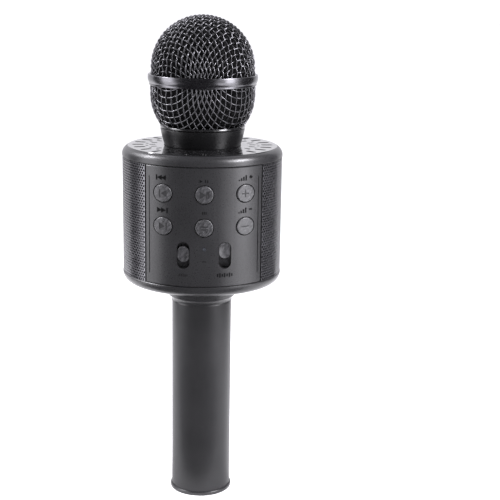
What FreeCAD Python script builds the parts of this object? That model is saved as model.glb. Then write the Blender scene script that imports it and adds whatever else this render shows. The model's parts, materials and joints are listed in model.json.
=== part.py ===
"""Karaoke microphone with a built-in speaker drum, modelled in millimetres.

The origin is the centre of the handle's flat end, +Z runs up the handle to the grille,
and the front panel with its buttons faces -Y.
"""

import FreeCAD, Part
import math
import os

os.makedirs("parts", exist_ok=True)

# Whole microphone
drum_floor_z = 113.4
drum_height = 68.6
drum_radius = 40.0
drum_wall = 2.2
top_edge_radius = 4.2
bottom_edge_radius = 4.9
top_band_height = 5.2
bottom_band_height = 5.4
seam_gap = 0.25
edge_break = 0.3
fit_gap = 0.1
loose_gap = 0.3
cut_margin = 1.0

# Handle
handle_radius = 15.2
handle_wall = 1.8
handle_insertion = 11.0
collar_height = 11.1
collar_flare_height = 3.2
collar_flare_share = 0.62
collar_waist_share = 0.2
collar_overhang = 2.0
collar_taper = 1.3
end_flange_overhang = 0.7
end_flange_height = 2.0
end_plug_depth = 10.0
end_plug_wall = 1.8
battery_radius = 9.1
battery_length = 65.0
battery_start_z = 28.0
battery_sleeve_overrun = 4.0
battery_tab_thickness = 0.3
battery_tab_width = 6.0
battery_tab_share = 0.8

# Neck and grille
neck_height = 8.7
neck_top_radius = 21.0
neck_flare = 2.1
neck_waist_share = 0.52
neck_waist_height_share = 0.42
neck_floor_ledge = 2.0
neck_wall = 1.8
neck_step = 1.0
neck_floor_thickness = 2.0
neck_flange_width = 4.5
neck_flange_thickness = 2.0
wire_hole_radius = 3.0
ring_overhang = 0.3
ring_flange_height = 1.5
ring_sleeve_length = 6.4
ring_sleeve_wall = 1.8
gasket_thickness = 0.8
gasket_width = 1.6
bowl_radius = 26.0
bowl_straight = 4.4
bowl_foot_margin = 0.15
mesh_thickness = 1.6
belt_overhang = 1.4
belt_height = 5.3
belt_bulge = 1.0
mesh_seat_depth = 1.5
dome_step = 0.3
dome_straight = 3.1
foam_thickness = 4.0
foam_gap = 0.4
capsule_radius = 8.0
capsule_height = 9.0
capsule_face_thickness = 1.0
capsule_hole_radius = 0.7
holder_wall = 1.6
holder_height = 13.0
holder_flange_gap = 2.2
holder_flange_thickness = 1.5
capsule_seat_depth = 7.0
capsule_hole_ring_share = 0.55
capsule_hole_count = 6

# Flat trim disc on top of the drum
disc_margin = 2.7
disc_thickness = 1.2
disc_recess_ledge = 2.4
disc_bore_gap = 0.35
outer_slot_count = 24
outer_slot_length = 5.8
outer_slot_width = 2.3
outer_slot_margin = 2.3
inner_slot_count = 24
inner_slot_length = 3.2
inner_slot_width = 1.6
inner_slot_margin = 4.05
dimple_radius = 0.75
slot_depth = 0.45

# Drum sides
panel_half_angle = 43.6
side_gap_angle = 1.2
groove_angle = 40.6
groove_width = 0.5
groove_depth = 0.35
groove_end_margin = 5.0
grille_sheet = 0.6
grille_inset = 0.2
cloth_thickness = 0.3
seat_width = 2.5
seat_angle = 3.0
frame_wall = 2.0
frame_gap = 0.2
window_drop = 4.0
window_rise = 1.5
rear_window_margin = 1.5
rear_window_drop = 3.0

# Speakers
speaker_radius = 18.0
speaker_flange_width = 2.5
speaker_depth = 11.8
basket_wall = 0.9
baffle_inset = 9.6
baffle_thickness = 2.0
magnet_radius = 9.0
magnet_height = 5.6
surround_span = 1.9
cone_neck_radius = 5.0
cone_depth = 6.5
cone_wall = 0.5
cap_height = 1.6
cap_waist_share = 0.6
cap_swell_share = 0.75
surround_roll_share = 0.4

# Buttons and their circuit board
button_column_x = 19.6
button_row_rises = (34.6, 50.5)
button_radius = 4.25
button_hole_gap = 0.35
button_proud = 0.5
button_edge_round = 0.5
button_guide_wall = 1.1
button_flange_overhang = 0.9
button_flange_thickness = 1.0
button_travel = 0.6
button_flange_gap = 0.472
plunger_length = 0.8
symbol_height = 3.6
symbol_stroke = 0.55
symbol_gap = 0.25
symbol_depth = 0.2
arrow_share = 0.8
board_thickness = 1.6
board_side_margin = 4.8
board_bottom_rise = 12.6
board_top_rise = 57.1
tact_side = 6.0
tact_height = 3.5
tact_stem_height = 0.8
tact_stem_radius = 1.7

# Slide switches
slide_x = 9.95
slide_drop = 7.9
slide_slot_width = 6.0
slide_slot_length = 13.0
knob_gap = 0.3
knob_length = 7.6
knob_recess = 0.5
knob_dish_depth = 0.7
knob_plate_thickness = 0.8
left_knob_offset = 0.6
right_knob_offset = 2.4
slide_body_length = 9.6
slide_body_width = 4.6
slide_body_height = 4.0
slide_post_side = 1.8
slide_post_entry = 1.2
slide_well_depth = 1.5
slide_guide_rim = 1.5
slide_guide_end = 0.5
slide_guide_sink = 0.2
plate_side_lap = 0.9
plate_end_lap = 2.0

# Rear connectors on the main board
port_land_half_width = 8.9
main_board_x = -1.5
main_board_gap = 3.4
main_board_foot = 6.0
socket_setback = 0.4
board_rail_depth = 4.0
board_rail_width = 1.2
board_rail_length = 3.0
board_rail_foot = 2.0
port_land_margin = 3.0
usb_width = 13.1
usb_height = 5.7
usb_depth = 14.0
usb_wall = 0.4
usb_rise = 47.2
usb_tongue_thickness = 1.8
usb_tongue_offset = 0.9
usb_tongue_setback = 1.0
usb_tongue_margin = 1.2
card_width = 14.6
card_height = 2.0
card_depth = 15.0
card_mouth_width = 11.6
card_mouth_height = 1.0
card_back_wall = 1.5
card_rise = 31.8
jack_side = 6.2
jack_depth = 12.0
jack_bore_radius = 1.8
jack_nose_radius = 3.0
jack_rise = 19.8
micro_width = 7.8
micro_height = 3.0
micro_depth = 5.6
micro_wall = 0.35
micro_tongue_thickness = 0.7
micro_tongue_width = 3.8
micro_tongue_setback = 0.8
micro_rise = 11.0

# Screws
screw_radius = 1.0
screw_head_radius = 2.0
screw_head_height = 1.4
screw_length = 7.0
screw_recess_share = 0.45
screw_recess_depth = 0.7
screw_bite = 2.0
boss_radius = 3.0
boss_height = 9.0
boss_angle = 58.0
boss_sink = 0.8
boss_floor = 1.0
post_foot_margin = 1.0
neck_screw_count = 3
neck_screw_depth = 1.8
indicator_radius = 0.9
indicator_tail = 1.0
indicator_rise = 24.2

# Heights that follow
drum_top_z = drum_floor_z + drum_height
lower_seam_z = drum_floor_z + bottom_band_height
upper_seam_z = drum_top_z - top_band_height
side_bottom_z = lower_seam_z + seam_gap
side_top_z = upper_seam_z - seam_gap
panel_inner_radius = drum_radius - drum_wall
frame_outer_radius = panel_inner_radius - frame_gap
frame_inner_radius = frame_outer_radius - frame_wall
handle_bore_radius = handle_radius - handle_wall
handle_top_z = drum_floor_z + handle_insertion
neck_top_z = drum_top_z + neck_height
neck_base_radius = neck_top_radius - neck_flare
neck_waist_radius = neck_base_radius + neck_waist_share * neck_flare
neck_bore_radius = neck_base_radius - neck_wall
neck_stem_radius = neck_base_radius - neck_step
neck_flange_radius = neck_stem_radius + neck_flange_width
flange_bottom_z = neck_top_z + fit_gap
flange_top_z = flange_bottom_z + ring_flange_height
sleeve_radius = neck_bore_radius - fit_gap
sheet_inner_radius = drum_radius - grille_inset - grille_sheet
side_half_angle = 90 - panel_half_angle - side_gap_angle
sleeve_bore_radius = sleeve_radius - ring_sleeve_wall
ring_flange_radius = neck_top_radius + ring_overhang
bowl_foot_radius = ring_flange_radius - bowl_foot_margin
bowl_depth = math.sqrt(bowl_radius ** 2 - bowl_foot_radius ** 2)
bowl_centre_z = flange_top_z + bowl_depth
belt_radius = bowl_radius + belt_overhang
dome_radius = bowl_radius - dome_step
belt_bottom_z = bowl_centre_z + bowl_straight
belt_top_z = belt_bottom_z + belt_height
dome_centre_z = belt_top_z + dome_straight
disc_radius = drum_radius - disc_margin
disc_floor_z = drum_top_z - disc_thickness
cover_ceiling_z = disc_floor_z - disc_recess_ledge
disc_bore_radius = neck_base_radius + disc_bore_gap
outer_slot_pitch_radius = disc_radius - outer_slot_margin - outer_slot_length / 2
inner_slot_pitch_radius = disc_bore_radius + inner_slot_margin + inner_slot_length / 2
outer_slot_inner_end = outer_slot_pitch_radius - outer_slot_length / 2
inner_slot_outer_end = inner_slot_pitch_radius + inner_slot_length / 2
dimple_pitch_radius = (outer_slot_inner_end + inner_slot_outer_end) / 2
baffle_x = frame_inner_radius - baffle_inset
cone_edge_radius = speaker_radius - speaker_flange_width - surround_span
button_flange_radius = button_radius + button_flange_overhang
button_guide_radius = button_radius + button_hole_gap + button_guide_wall
arrow_reach = arrow_share * symbol_height / 2
holder_flange_radius = sleeve_bore_radius - holder_flange_gap
button_row_z = [drum_floor_z + rise for rise in button_row_rises]
board_bottom_z = drum_floor_z + board_bottom_rise
board_top_z = drum_floor_z + board_top_rise
slide_z = button_row_z[0] - button_guide_radius - slide_drop
usb_z = drum_floor_z + usb_rise
card_z = drum_floor_z + card_rise
jack_z = drum_floor_z + jack_rise
micro_z = drum_floor_z + micro_rise
indicator_z = drum_floor_z + indicator_rise
flange_reach_x = button_column_x + button_flange_radius
flange_wall_y = -math.sqrt(panel_inner_radius ** 2 - flange_reach_x ** 2)
button_flange_front_y = flange_wall_y + button_flange_gap
button_flange_back_y = button_flange_front_y + button_flange_thickness
stem_tip_y = button_flange_back_y + plunger_length
tact_face_y = stem_tip_y + tact_stem_height
board_front_y = tact_face_y + tact_height
board_back_y = board_front_y + board_thickness
board_half_width = button_column_x + board_side_margin
main_board_front_y = board_back_y + main_board_gap
guide_back_y = button_flange_front_y - fit_gap
slide_body_face_y = board_front_y - slide_body_height
slide_guide_half_width = slide_slot_width / 2 + slide_guide_rim
slide_edge_x = slide_x + slide_guide_half_width
slide_guide_back_y = slide_guide_sink - math.sqrt(panel_inner_radius ** 2 - slide_edge_x ** 2)
speaker_z = (lower_seam_z + upper_seam_z) / 2
port_land_y = math.sqrt(drum_radius ** 2 - port_land_half_width ** 2)
port_face_y = port_land_y - drum_wall
port_nose_y = port_land_y - socket_setback

X_AXIS = FreeCAD.Vector(1, 0, 0)
Y_AXIS = FreeCAD.Vector(0, 1, 0)
Z_AXIS = FreeCAD.Vector(0, 0, 1)
ORIGIN = FreeCAD.Vector(0, 0, 0)
SIDES = (("left", 180), ("right", 0))


def save(name, shape):
    """Write one piece, or one group of equal pieces, to its own file."""
    shape.exportStep(os.path.join("parts", name + ".step"))


def lathe(outline, start_angle=0.0, sweep=360.0):
    """Turn a closed (radius, height) outline about the Z axis.

    A point may carry a third and fourth value, the middle point of an arc that leads to it.
    """
    points = [FreeCAD.Vector(p[0], 0, p[1]) for p in outline]
    edges = []
    for i, point in enumerate(outline):
        start = points[i - 1]
        if len(point) == 4:
            middle = FreeCAD.Vector(point[2], 0, point[3])
            edges.append(Part.Arc(start, middle, points[i]).toShape())
        elif (points[i] - start).Length > 1e-6:
            edges.append(Part.LineSegment(start, points[i]).toShape())
    face = Part.Face(Part.Wire(Part.__sortEdges__(edges)))
    if start_angle:
        face.rotate(ORIGIN, Z_AXIS, start_angle)
    body = face.revolve(ORIGIN, Z_AXIS, sweep)
    if body.Volume < 0:
        face.reverse()
        body = face.revolve(ORIGIN, Z_AXIS, sweep)
    return solid_of(body)


def solid_of(shape):
    """The shape as a bare solid where it holds only one."""
    if len(shape.Solids) == 1:
        return shape.Solids[0]
    return shape


def tube(outer, inner, bottom, top):
    """An upright tube between two heights."""
    return lathe([(inner, bottom), (outer, bottom), (outer, top), (inner, top)])


def rod(radius, start, direction, length):
    """A round bar from a point along a direction."""
    return Part.makeCylinder(radius, length, start, direction)


def block(x_range, y_range, z_range):
    """A box between two limits on each axis."""
    size = [limits[1] - limits[0] for limits in (x_range, y_range, z_range)]
    corner = FreeCAD.Vector(x_range[0], y_range[0], z_range[0])
    return Part.makeBox(size[0], size[1], size[2], corner)


def front_stadium(x, z, width, height, y_start, y_end):
    """An upright stadium-shaped bar that runs along Y."""
    radius = width / 2
    reach = height / 2 - radius
    depth = y_end - y_start
    bar = block((x - radius, x + radius), (y_start, y_end), (z - reach, z + reach))
    for side in (-1, 1):
        end = FreeCAD.Vector(x, y_start, z + side * reach)
        bar = bar.fuse(rod(radius, end, Y_AXIS, depth))
    return solid_of(bar.removeSplitter())


def turned(shape, angle):
    """A copy turned about the Z axis."""
    copy = shape.copy()
    copy.rotate(ORIGIN, Z_AXIS, angle)
    return copy


def around(shape, angles):
    """Copies of a shape turned to each angle about the Z axis."""
    return [turned(shape, angle) for angle in angles]


def fused(shapes):
    """One solid from several that touch."""
    first = shapes[0]
    return solid_of(first.fuse(shapes[1:]).removeSplitter())


def cut(shape, tools):
    """A shape less each tool."""
    return solid_of(shape.cut(Part.makeCompound(tools)))


def arc_middle(centre_r, centre_z, radius, start_deg, end_deg):
    """The middle point of an arc in the (radius, height) plane."""
    angle = math.radians((start_deg + end_deg) / 2)
    return (centre_r + radius * math.cos(angle), centre_z + radius * math.sin(angle))


def shell_band(outer, inner, bottom, top, centre_angle, half_angle, bevel=0.0):
    """A curved wall about the Z axis, with its two outer long edges broken."""
    outline = [
        (inner, bottom),
        (outer - bevel, bottom),
        (outer, bottom + bevel),
        (outer, top - bevel),
        (outer - bevel, top),
        (inner, top),
    ]
    return lathe(outline, centre_angle - half_angle, 2 * half_angle)


# ---------------------------------------------------------------- handle


def make_end_cap():
    """Flat foot of the handle: a rounded flange with a hollow plug up the tube."""
    flange_radius = handle_radius + end_flange_overhang
    round_off = end_flange_height / 3
    rounded = flange_radius - round_off
    upper = end_flange_height - round_off
    plug = handle_bore_radius - fit_gap / 2
    top = end_flange_height + end_plug_depth
    outline = [
        (0, 0),
        (rounded, 0),
        (flange_radius, round_off, *arc_middle(rounded, round_off, round_off, -90, 0)),
        (flange_radius, upper),
        (rounded, end_flange_height, *arc_middle(rounded, upper, round_off, 0, 90)),
        (plug, end_flange_height),
        (plug, top),
        (plug - end_plug_wall, top),
        (plug - end_plug_wall, end_flange_height),
        (0, end_flange_height),
    ]
    save("end_cap", lathe(outline))


def make_handle_tube():
    """Plain round grip, from the end cap up into the drum, with two cross holes at its top."""
    grip = tube(handle_radius, handle_bore_radius, end_flange_height, handle_top_z)
    save("handle_tube", cut(grip, handle_screw_holes(screw_radius)))


def handle_screw_height():
    """Height of the two cross screws that hold the handle in the drum."""
    return drum_floor_z + drum_wall + (handle_insertion - drum_wall) / 2


def handle_screw_holes(radius):
    """Holes on the X axis through the handle's wall."""
    z = handle_screw_height()
    inner = handle_bore_radius - screw_length
    length = handle_radius + screw_length - inner
    holes = []
    for side in (-1, 1):
        start = FreeCAD.Vector(side * inner, 0, z)
        holes.append(rod(radius, start, X_AXIS * side, length))
    return holes


def make_handle_collar():
    """Flared ring under the drum, where the handle goes in."""
    bore = handle_radius + fit_gap / 2
    foot = drum_floor_z - collar_height
    outer = handle_radius + collar_overhang
    waist = (bore + outer) / 2 - collar_waist_share * collar_overhang
    waist_z = foot + collar_flare_share * collar_flare_height
    outline = [
        (bore, foot),
        (bore + edge_break, foot),
        (outer, foot + collar_flare_height, waist, waist_z),
        (outer + collar_taper, drum_floor_z),
        (bore, drum_floor_z),
    ]
    save("handle_collar", lathe(outline))


def make_battery():
    """Round cell in a soft sleeve inside the handle, with a metal tab at each end."""
    top = battery_start_z + battery_length
    middle = FreeCAD.Vector(0, 0, battery_start_z)
    cell = rod(battery_radius, middle, Z_AXIS, battery_length)
    save("battery_cell", cell.makeFillet(edge_break, [cell.Edges[0], cell.Edges[2]]))
    sleeve = tube(
        handle_bore_radius - fit_gap,
        battery_radius + fit_gap,
        battery_start_z - battery_sleeve_overrun,
        top + battery_sleeve_overrun,
    )
    save("battery_sleeve", sleeve)
    half = battery_tab_width / 2
    reach = battery_tab_share * battery_radius
    tabs = []
    for low in (battery_start_z - battery_tab_thickness, top):
        high = low + battery_tab_thickness
        tabs.append(block((-half, half), (-reach, reach), (low, high)))
    save("battery_tabs", Part.makeCompound(tabs))


# ------------------------------------------------------------- drum shell


def cover_screw_points(z):
    """The four places of the long screws, at one height."""
    radius = frame_inner_radius - boss_radius + boss_sink
    points = []
    for angle in (boss_angle, 180 - boss_angle, 180 + boss_angle, -boss_angle):
        turn = math.radians(angle - 90)
        points.append(FreeCAD.Vector(radius * math.cos(turn), radius * math.sin(turn), z))
    return points


def neck_screw_points(z):
    """The places of the short screws through the neck's flange, at one height."""
    radius = (neck_stem_radius + neck_flange_radius) / 2
    points = []
    for i in range(neck_screw_count):
        turn = 2 * math.pi * i / neck_screw_count
        points.append(FreeCAD.Vector(radius * math.cos(turn), radius * math.sin(turn), z))
    return points


def make_bottom_cover():
    """Rounded floor of the drum with a socket for the handle."""
    r = bottom_edge_radius
    start = drum_radius - r
    floor_top = drum_floor_z + drum_wall
    inner_r = r - drum_wall
    socket_radius = handle_radius + fit_gap / 2
    inner_arc = arc_middle(start, drum_floor_z + r, inner_r, -90, 0)
    outer_arc = arc_middle(start, drum_floor_z + r, r, -90, 0)
    outline = [
        (socket_radius, drum_floor_z),
        (start, drum_floor_z),
        (drum_radius, drum_floor_z + r, *outer_arc),
        (drum_radius, lower_seam_z - edge_break),
        (drum_radius - edge_break, lower_seam_z),
        (start + inner_r, lower_seam_z),
        (start + inner_r, drum_floor_z + r),
        (start, floor_top, *inner_arc),
        (socket_radius + drum_wall, floor_top),
        (socket_radius + drum_wall, handle_top_z),
        (socket_radius, handle_top_z),
    ]
    cover = lathe(outline)
    posts = [rod(boss_radius, p, Z_AXIS, lower_seam_z - floor_top) for p in cover_screw_points(floor_top)]
    cover = fused([cover] + posts)
    foot = cover_screw_points(drum_floor_z)
    holes = [rod(screw_radius + fit_gap, p, Z_AXIS, bottom_band_height) for p in foot]
    holes += [rod(screw_head_radius + fit_gap, p, Z_AXIS, screw_head_height) for p in foot]
    save("bottom_cover", cut(cover, holes + handle_screw_holes(screw_radius + fit_gap)))


def make_top_cover():
    """Rounded rim and ceiling of the drum, recessed for the trim disc."""
    r = top_edge_radius
    start = drum_radius - r
    centre_z = drum_top_z - r
    crest_r = disc_radius + fit_gap
    crest_angle = math.degrees(math.acos((crest_r - start) / r))
    crest_z = centre_z + r * math.sin(math.radians(crest_angle))
    outer_arc = arc_middle(start, centre_z, r, 0, crest_angle)
    bore = neck_stem_radius + fit_gap
    outline = [
        (bore, cover_ceiling_z),
        (panel_inner_radius, cover_ceiling_z),
        (panel_inner_radius, upper_seam_z),
        (drum_radius - edge_break, upper_seam_z),
        (drum_radius, upper_seam_z + edge_break),
        (drum_radius, centre_z),
        (crest_r, crest_z, *outer_arc),
        (crest_r, disc_floor_z),
        (bore, disc_floor_z),
    ]
    cover = lathe(outline)
    crown = cover_screw_points(disc_floor_z)
    holes = [rod(screw_radius + fit_gap, p, -Z_AXIS, disc_recess_ledge) for p in crown]
    holes += [rod(screw_head_radius + fit_gap, p, -Z_AXIS, screw_head_height) for p in crown]
    holes += [rod(screw_radius, p, Z_AXIS, neck_screw_depth) for p in neck_screw_points(cover_ceiling_z)]
    save("top_cover", cut(cover, holes))


def flat_slot(length, width, pitch_radius, depth):
    """A radial stadium groove in the top of the trim disc."""
    radius = width / 2
    reach = length / 2 - radius
    floor = drum_top_z - depth
    along = (pitch_radius - reach, pitch_radius + reach)
    bar = block(along, (-radius, radius), (floor, drum_top_z + depth))
    ends = []
    for side in (-1, 1):
        point = FreeCAD.Vector(pitch_radius + side * reach, 0, floor)
        ends.append(rod(radius, point, Z_AXIS, 2 * depth))
    return fused([bar] + ends)


def make_top_disc():
    """Glossy trim disc round the neck with two rings of radial grooves and a ring of dimples."""
    outline = [
        (disc_bore_radius, disc_floor_z),
        (disc_radius, disc_floor_z),
        (disc_radius, drum_top_z - edge_break),
        (disc_radius - edge_break, drum_top_z),
        (disc_bore_radius, drum_top_z),
    ]
    disc = lathe(outline)
    outer = flat_slot(outer_slot_length, outer_slot_width, outer_slot_pitch_radius, slot_depth)
    inner = flat_slot(inner_slot_length, inner_slot_width, inner_slot_pitch_radius, slot_depth)
    dimple_place = FreeCAD.Vector(dimple_pitch_radius, 0, drum_top_z - slot_depth)
    dimple = rod(dimple_radius, dimple_place, Z_AXIS, 2 * slot_depth)
    step = 360 / outer_slot_count
    tools = around(outer, [i * step for i in range(outer_slot_count)])
    tools += around(dimple, [(i + 0.5) * step for i in range(outer_slot_count)])
    tools += around(inner, [i * 360 / inner_slot_count for i in range(inner_slot_count)])
    save("top_disc", cut(disc, tools))


def groove(side):
    """A fine upright groove near one long edge of a panel that faces -Y."""
    angle = math.degrees(groove_width / drum_radius)
    bottom = side_bottom_z + groove_end_margin
    top = side_top_z - groove_end_margin
    centre = side * groove_angle - 90
    floor = drum_radius - groove_depth
    return shell_band(drum_radius + cut_margin, floor, bottom, top, centre, angle / 2)


def board_post_points():
    """Where the key board is screwed to the front panel: (x, z) pairs between the keys."""
    low = board_bottom_z + boss_radius + post_foot_margin
    high = board_top_z - boss_radius
    middle = button_column_x / 2
    return [(-button_column_x, low), (button_column_x, low), (-middle, high), (middle, high)]


def panel_wall(centre_angle):
    """The curved wall of the front or the rear panel."""
    return shell_band(
        drum_radius,
        panel_inner_radius,
        side_bottom_z,
        side_top_z,
        centre_angle,
        panel_half_angle,
        edge_break,
    )


def make_front_panel():
    """Curved front with six guided button holes, two slide slots and a pilot light hole."""
    wall = panel_wall(-90)
    foot = FreeCAD.Vector(0, 0, side_bottom_z)
    core = rod(drum_radius - drum_wall / 2, foot, Z_AXIS, side_top_z - side_bottom_z)
    ahead_y = -drum_radius - cut_margin
    guides = []
    holes = []
    hole_radius = button_radius + button_hole_gap
    for x in (-button_column_x, 0, button_column_x):
        for z in button_row_z:
            start = FreeCAD.Vector(x, ahead_y, z)
            length = guide_back_y - ahead_y
            guides.append(rod(button_guide_radius, start, Y_AXIS, length).common(core))
            holes.append(rod(hole_radius, start, Y_AXIS, length + cut_margin))
    for x in (-slide_x, slide_x):
        guides.append(slide_guide(x).common(core))
        behind_y = slide_guide_back_y + cut_margin
        slot = front_stadium(x, slide_z, slide_slot_width, slide_slot_length, ahead_y, behind_y)
        holes.append(slot)
    for x, z in board_post_points():
        start = FreeCAD.Vector(x, -drum_radius, z)
        post = rod(boss_radius - fit_gap, start, Y_AXIS, drum_radius + board_front_y)
        guides.append(post.common(core))
        tip = FreeCAD.Vector(x, board_front_y, z)
        holes.append(rod(screw_radius, tip, -Y_AXIS, screw_length))
    light = FreeCAD.Vector(0, ahead_y, indicator_z)
    holes.append(rod(indicator_radius + fit_gap, light, Y_AXIS, drum_wall + 2 * cut_margin))
    panel = fused([wall] + guides)
    grooves = [groove(-1), groove(1)]
    save("front_panel", cut(panel, holes + grooves))


def slide_guide(x):
    """Thickened rim round a slide slot, with a flat face on which the knob's plate runs."""
    half_length = slide_slot_length / 2 + knob_length / 2 + slide_guide_end
    return block(
        (x - slide_guide_half_width, x + slide_guide_half_width),
        (-drum_radius, slide_guide_back_y),
        (slide_z - half_length, slide_z + half_length),
    )


def port_boxes(gap):
    """Where each rear connector's nose meets the rear panel, as blocks along Y."""
    inner = port_face_y - port_land_margin
    outer = port_land_y + cut_margin
    usb_x = main_board_x + usb_height / 2
    card_x = main_board_x + card_height / 2
    micro_x = main_board_x + micro_height / 2
    openings = []
    for x, z, height, width in (
        (usb_x, usb_z, usb_height, usb_width),
        (card_x, card_z, card_height, card_width),
        (micro_x, micro_z, micro_height, micro_width),
    ):
        half_x = height / 2 + gap
        half_z = width / 2 + gap
        openings.append(block((x - half_x, x + half_x), (inner, outer), (z - half_z, z + half_z)))
    nose = FreeCAD.Vector(main_board_x + jack_side / 2, inner, jack_z)
    openings.append(rod(jack_nose_radius + gap, nose, Y_AXIS, outer - inner))
    return openings


def board_rails():
    """Ribs inside the rear panel that hold the main board's edge from both sides."""
    depth = (port_face_y - board_rail_depth, port_face_y)
    left = main_board_x - board_thickness - fit_gap
    right = main_board_x + fit_gap
    usb_top = usb_z + usb_width / 2
    above_usb = (usb_top + fit_gap, usb_top + board_rail_length)
    jack_foot = jack_z - jack_side / 2 - fit_gap
    below_jack = (jack_foot - board_rail_width, jack_foot)
    full_height = (side_bottom_z + board_rail_foot, above_usb[1])
    rails = [block((left - board_rail_width, left), depth, full_height)]
    rails += [block((right, right + board_rail_width), depth, height) for height in (above_usb, below_jack)]
    return rails


def make_rear_panel():
    """Curved back with a flat land for the connectors."""
    wall = panel_wall(90)
    land_width = (-port_land_half_width, port_land_half_width)
    land_height = (side_bottom_z + edge_break, usb_z + usb_width / 2 + port_land_margin)
    land = block(land_width, (port_land_y, drum_radius + cut_margin), land_height)
    backing = block(land_width, (port_face_y, panel_inner_radius - frame_gap), land_height)
    grooves = [turned(groove(-1), 180), turned(groove(1), 180)]
    panel = fused([wall, backing] + board_rails())
    save("rear_panel", cut(panel, [land] + port_boxes(fit_gap) + grooves))


def make_side_grilles():
    """Perforated sheets on both sides, each backed by a thin dust cloth."""
    outer = drum_radius - grille_inset
    for name, centre in SIDES:
        sheet = shell_band(outer, sheet_inner_radius, side_bottom_z, side_top_z, centre, side_half_angle)
        save(name + "_speaker_grille", sheet)
        cloth = sound_window(frame_outer_radius + cloth_thickness, frame_outer_radius, centre)
        save(name + "_dust_cloth", cloth)


def sound_window(outer, inner, centre):
    """The part of a curved wall that the raised seat of a side sheet leaves open."""
    bottom = side_bottom_z + seat_width
    top = side_top_z - seat_width
    return shell_band(outer, inner, bottom, top, centre, side_half_angle - seat_angle)


def sheet_seat(centre):
    """Raised rim on the frame that a side sheet is fixed to."""
    inner = frame_outer_radius - frame_wall / 2
    rim = shell_band(sheet_inner_radius, inner, side_bottom_z, side_top_z, centre, side_half_angle)
    return rim.cut(sound_window(drum_radius, frame_outer_radius, centre))


def make_inner_frame():
    """Round inner frame with two flat speaker baffles, open front and back, and screw bosses."""
    bottom = lower_seam_z
    top = upper_seam_z
    ring = tube(frame_outer_radius, frame_inner_radius, bottom, top)
    foot = FreeCAD.Vector(0, 0, bottom)
    core = rod(frame_inner_radius + frame_wall / 2, foot, Z_AXIS, top - bottom)
    window_bottom = board_bottom_z - window_drop
    window_top = board_top_z + window_rise
    front_half = panel_inner_radius * math.sin(math.radians(panel_half_angle))
    front = block((-front_half, front_half), (-drum_radius, 0), (window_bottom, window_top))
    rear_half = port_land_half_width + rear_window_margin
    rear_height = (window_bottom - rear_window_drop, window_top)
    back = block((-rear_half, rear_half), (0, drum_radius), rear_height)
    sound_half = speaker_radius - speaker_flange_width
    sound = rod(sound_half, FreeCAD.Vector(-drum_radius, 0, speaker_z), X_AXIS, 2 * drum_radius)
    plate_half = math.sqrt(frame_inner_radius ** 2 - baffle_x ** 2) + frame_wall
    additions = []
    for side in (-1, 1):
        faces = sorted((side * baffle_x, side * (baffle_x + baffle_thickness)))
        plate = block(faces, (-plate_half, plate_half), (bottom, top))
        additions.append(plate.common(core))
    additions += [sheet_seat(centre) for name, centre in SIDES]
    additions += [rod(boss_radius, p, Z_AXIS, boss_height) for p in cover_screw_points(bottom)]
    additions += [rod(boss_radius, p, -Z_AXIS, boss_height) for p in cover_screw_points(cover_ceiling_z)]
    frame = fused([ring.cut(Part.makeCompound([front, back]))] + additions)
    depth = boss_height - boss_floor
    pilots = [rod(screw_radius, p, Z_AXIS, depth) for p in cover_screw_points(bottom)]
    pilots += [rod(screw_radius, p, -Z_AXIS, depth) for p in cover_screw_points(cover_ceiling_z)]
    save("inner_frame", cut(frame, [sound] + pilots))


# ---------------------------------------------------------------- speakers


def to_side(shape, side):
    """Stand a part turned about Z on its side, facing out along +X or -X."""
    copy = shape.copy()
    copy.rotate(ORIGIN, Y_AXIS, 90 * side)
    copy.translate(FreeCAD.Vector(0, 0, speaker_z))
    return copy


def make_speakers():
    """Two round speakers, each a steel basket, a magnet, a paper cone and a rubber surround."""
    face = baffle_x
    back = face - speaker_depth
    flange_inner = speaker_radius - speaker_flange_width
    rim = face - 2 * basket_wall
    basket = [
        (flange_inner, rim),
        (flange_inner, face),
        (speaker_radius, face),
        (speaker_radius, face - basket_wall),
        (flange_inner + basket_wall, face - basket_wall),
        (flange_inner + basket_wall, rim - basket_wall),
        (magnet_radius, back),
        (cone_neck_radius + 1, back),
        (cone_neck_radius + 1, back + basket_wall),
        (magnet_radius - basket_wall, back + basket_wall),
    ]
    magnet_back = back - magnet_height
    magnet = [(0, magnet_back), (magnet_radius, magnet_back), (magnet_radius, back), (0, back)]
    cone_low = rim - cone_depth
    cap_middle = (cap_waist_share * cone_neck_radius, cone_low + cap_swell_share * cap_height)
    cone = [
        (0, cone_low + cap_height),
        (cone_neck_radius, cone_low + cone_wall, *cap_middle),
        (cone_edge_radius, rim),
        (cone_edge_radius, rim - cone_wall),
        (cone_neck_radius, cone_low),
        (0, cone_low),
    ]
    middle = (cone_edge_radius + flange_inner) / 2
    surround_height = surround_roll_share * surround_span
    surround = [
        (cone_edge_radius, rim),
        (flange_inner - fit_gap, rim, middle, rim + surround_height),
        (flange_inner - fit_gap, rim + cone_wall),
        (cone_edge_radius, rim + cone_wall, middle, rim + surround_height + cone_wall),
    ]
    for name, side in (("left", -1), ("right", 1)):
        save(name + "_speaker_basket", to_side(lathe(basket), side))
        save(name + "_speaker_magnet", to_side(lathe(magnet), side))
        save(name + "_speaker_cone", to_side(lathe(cone), side))
        save(name + "_speaker_surround", to_side(lathe(surround), side))


# ------------------------------------------------------ buttons and switches


def symbol_bar(x, z, width, height):
    """A bar of a key's sunk symbol."""
    y_range = (-drum_radius - cut_margin, flange_wall_y)
    return block((x - width / 2, x + width / 2), y_range, (z - height / 2, z + height / 2))


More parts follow.
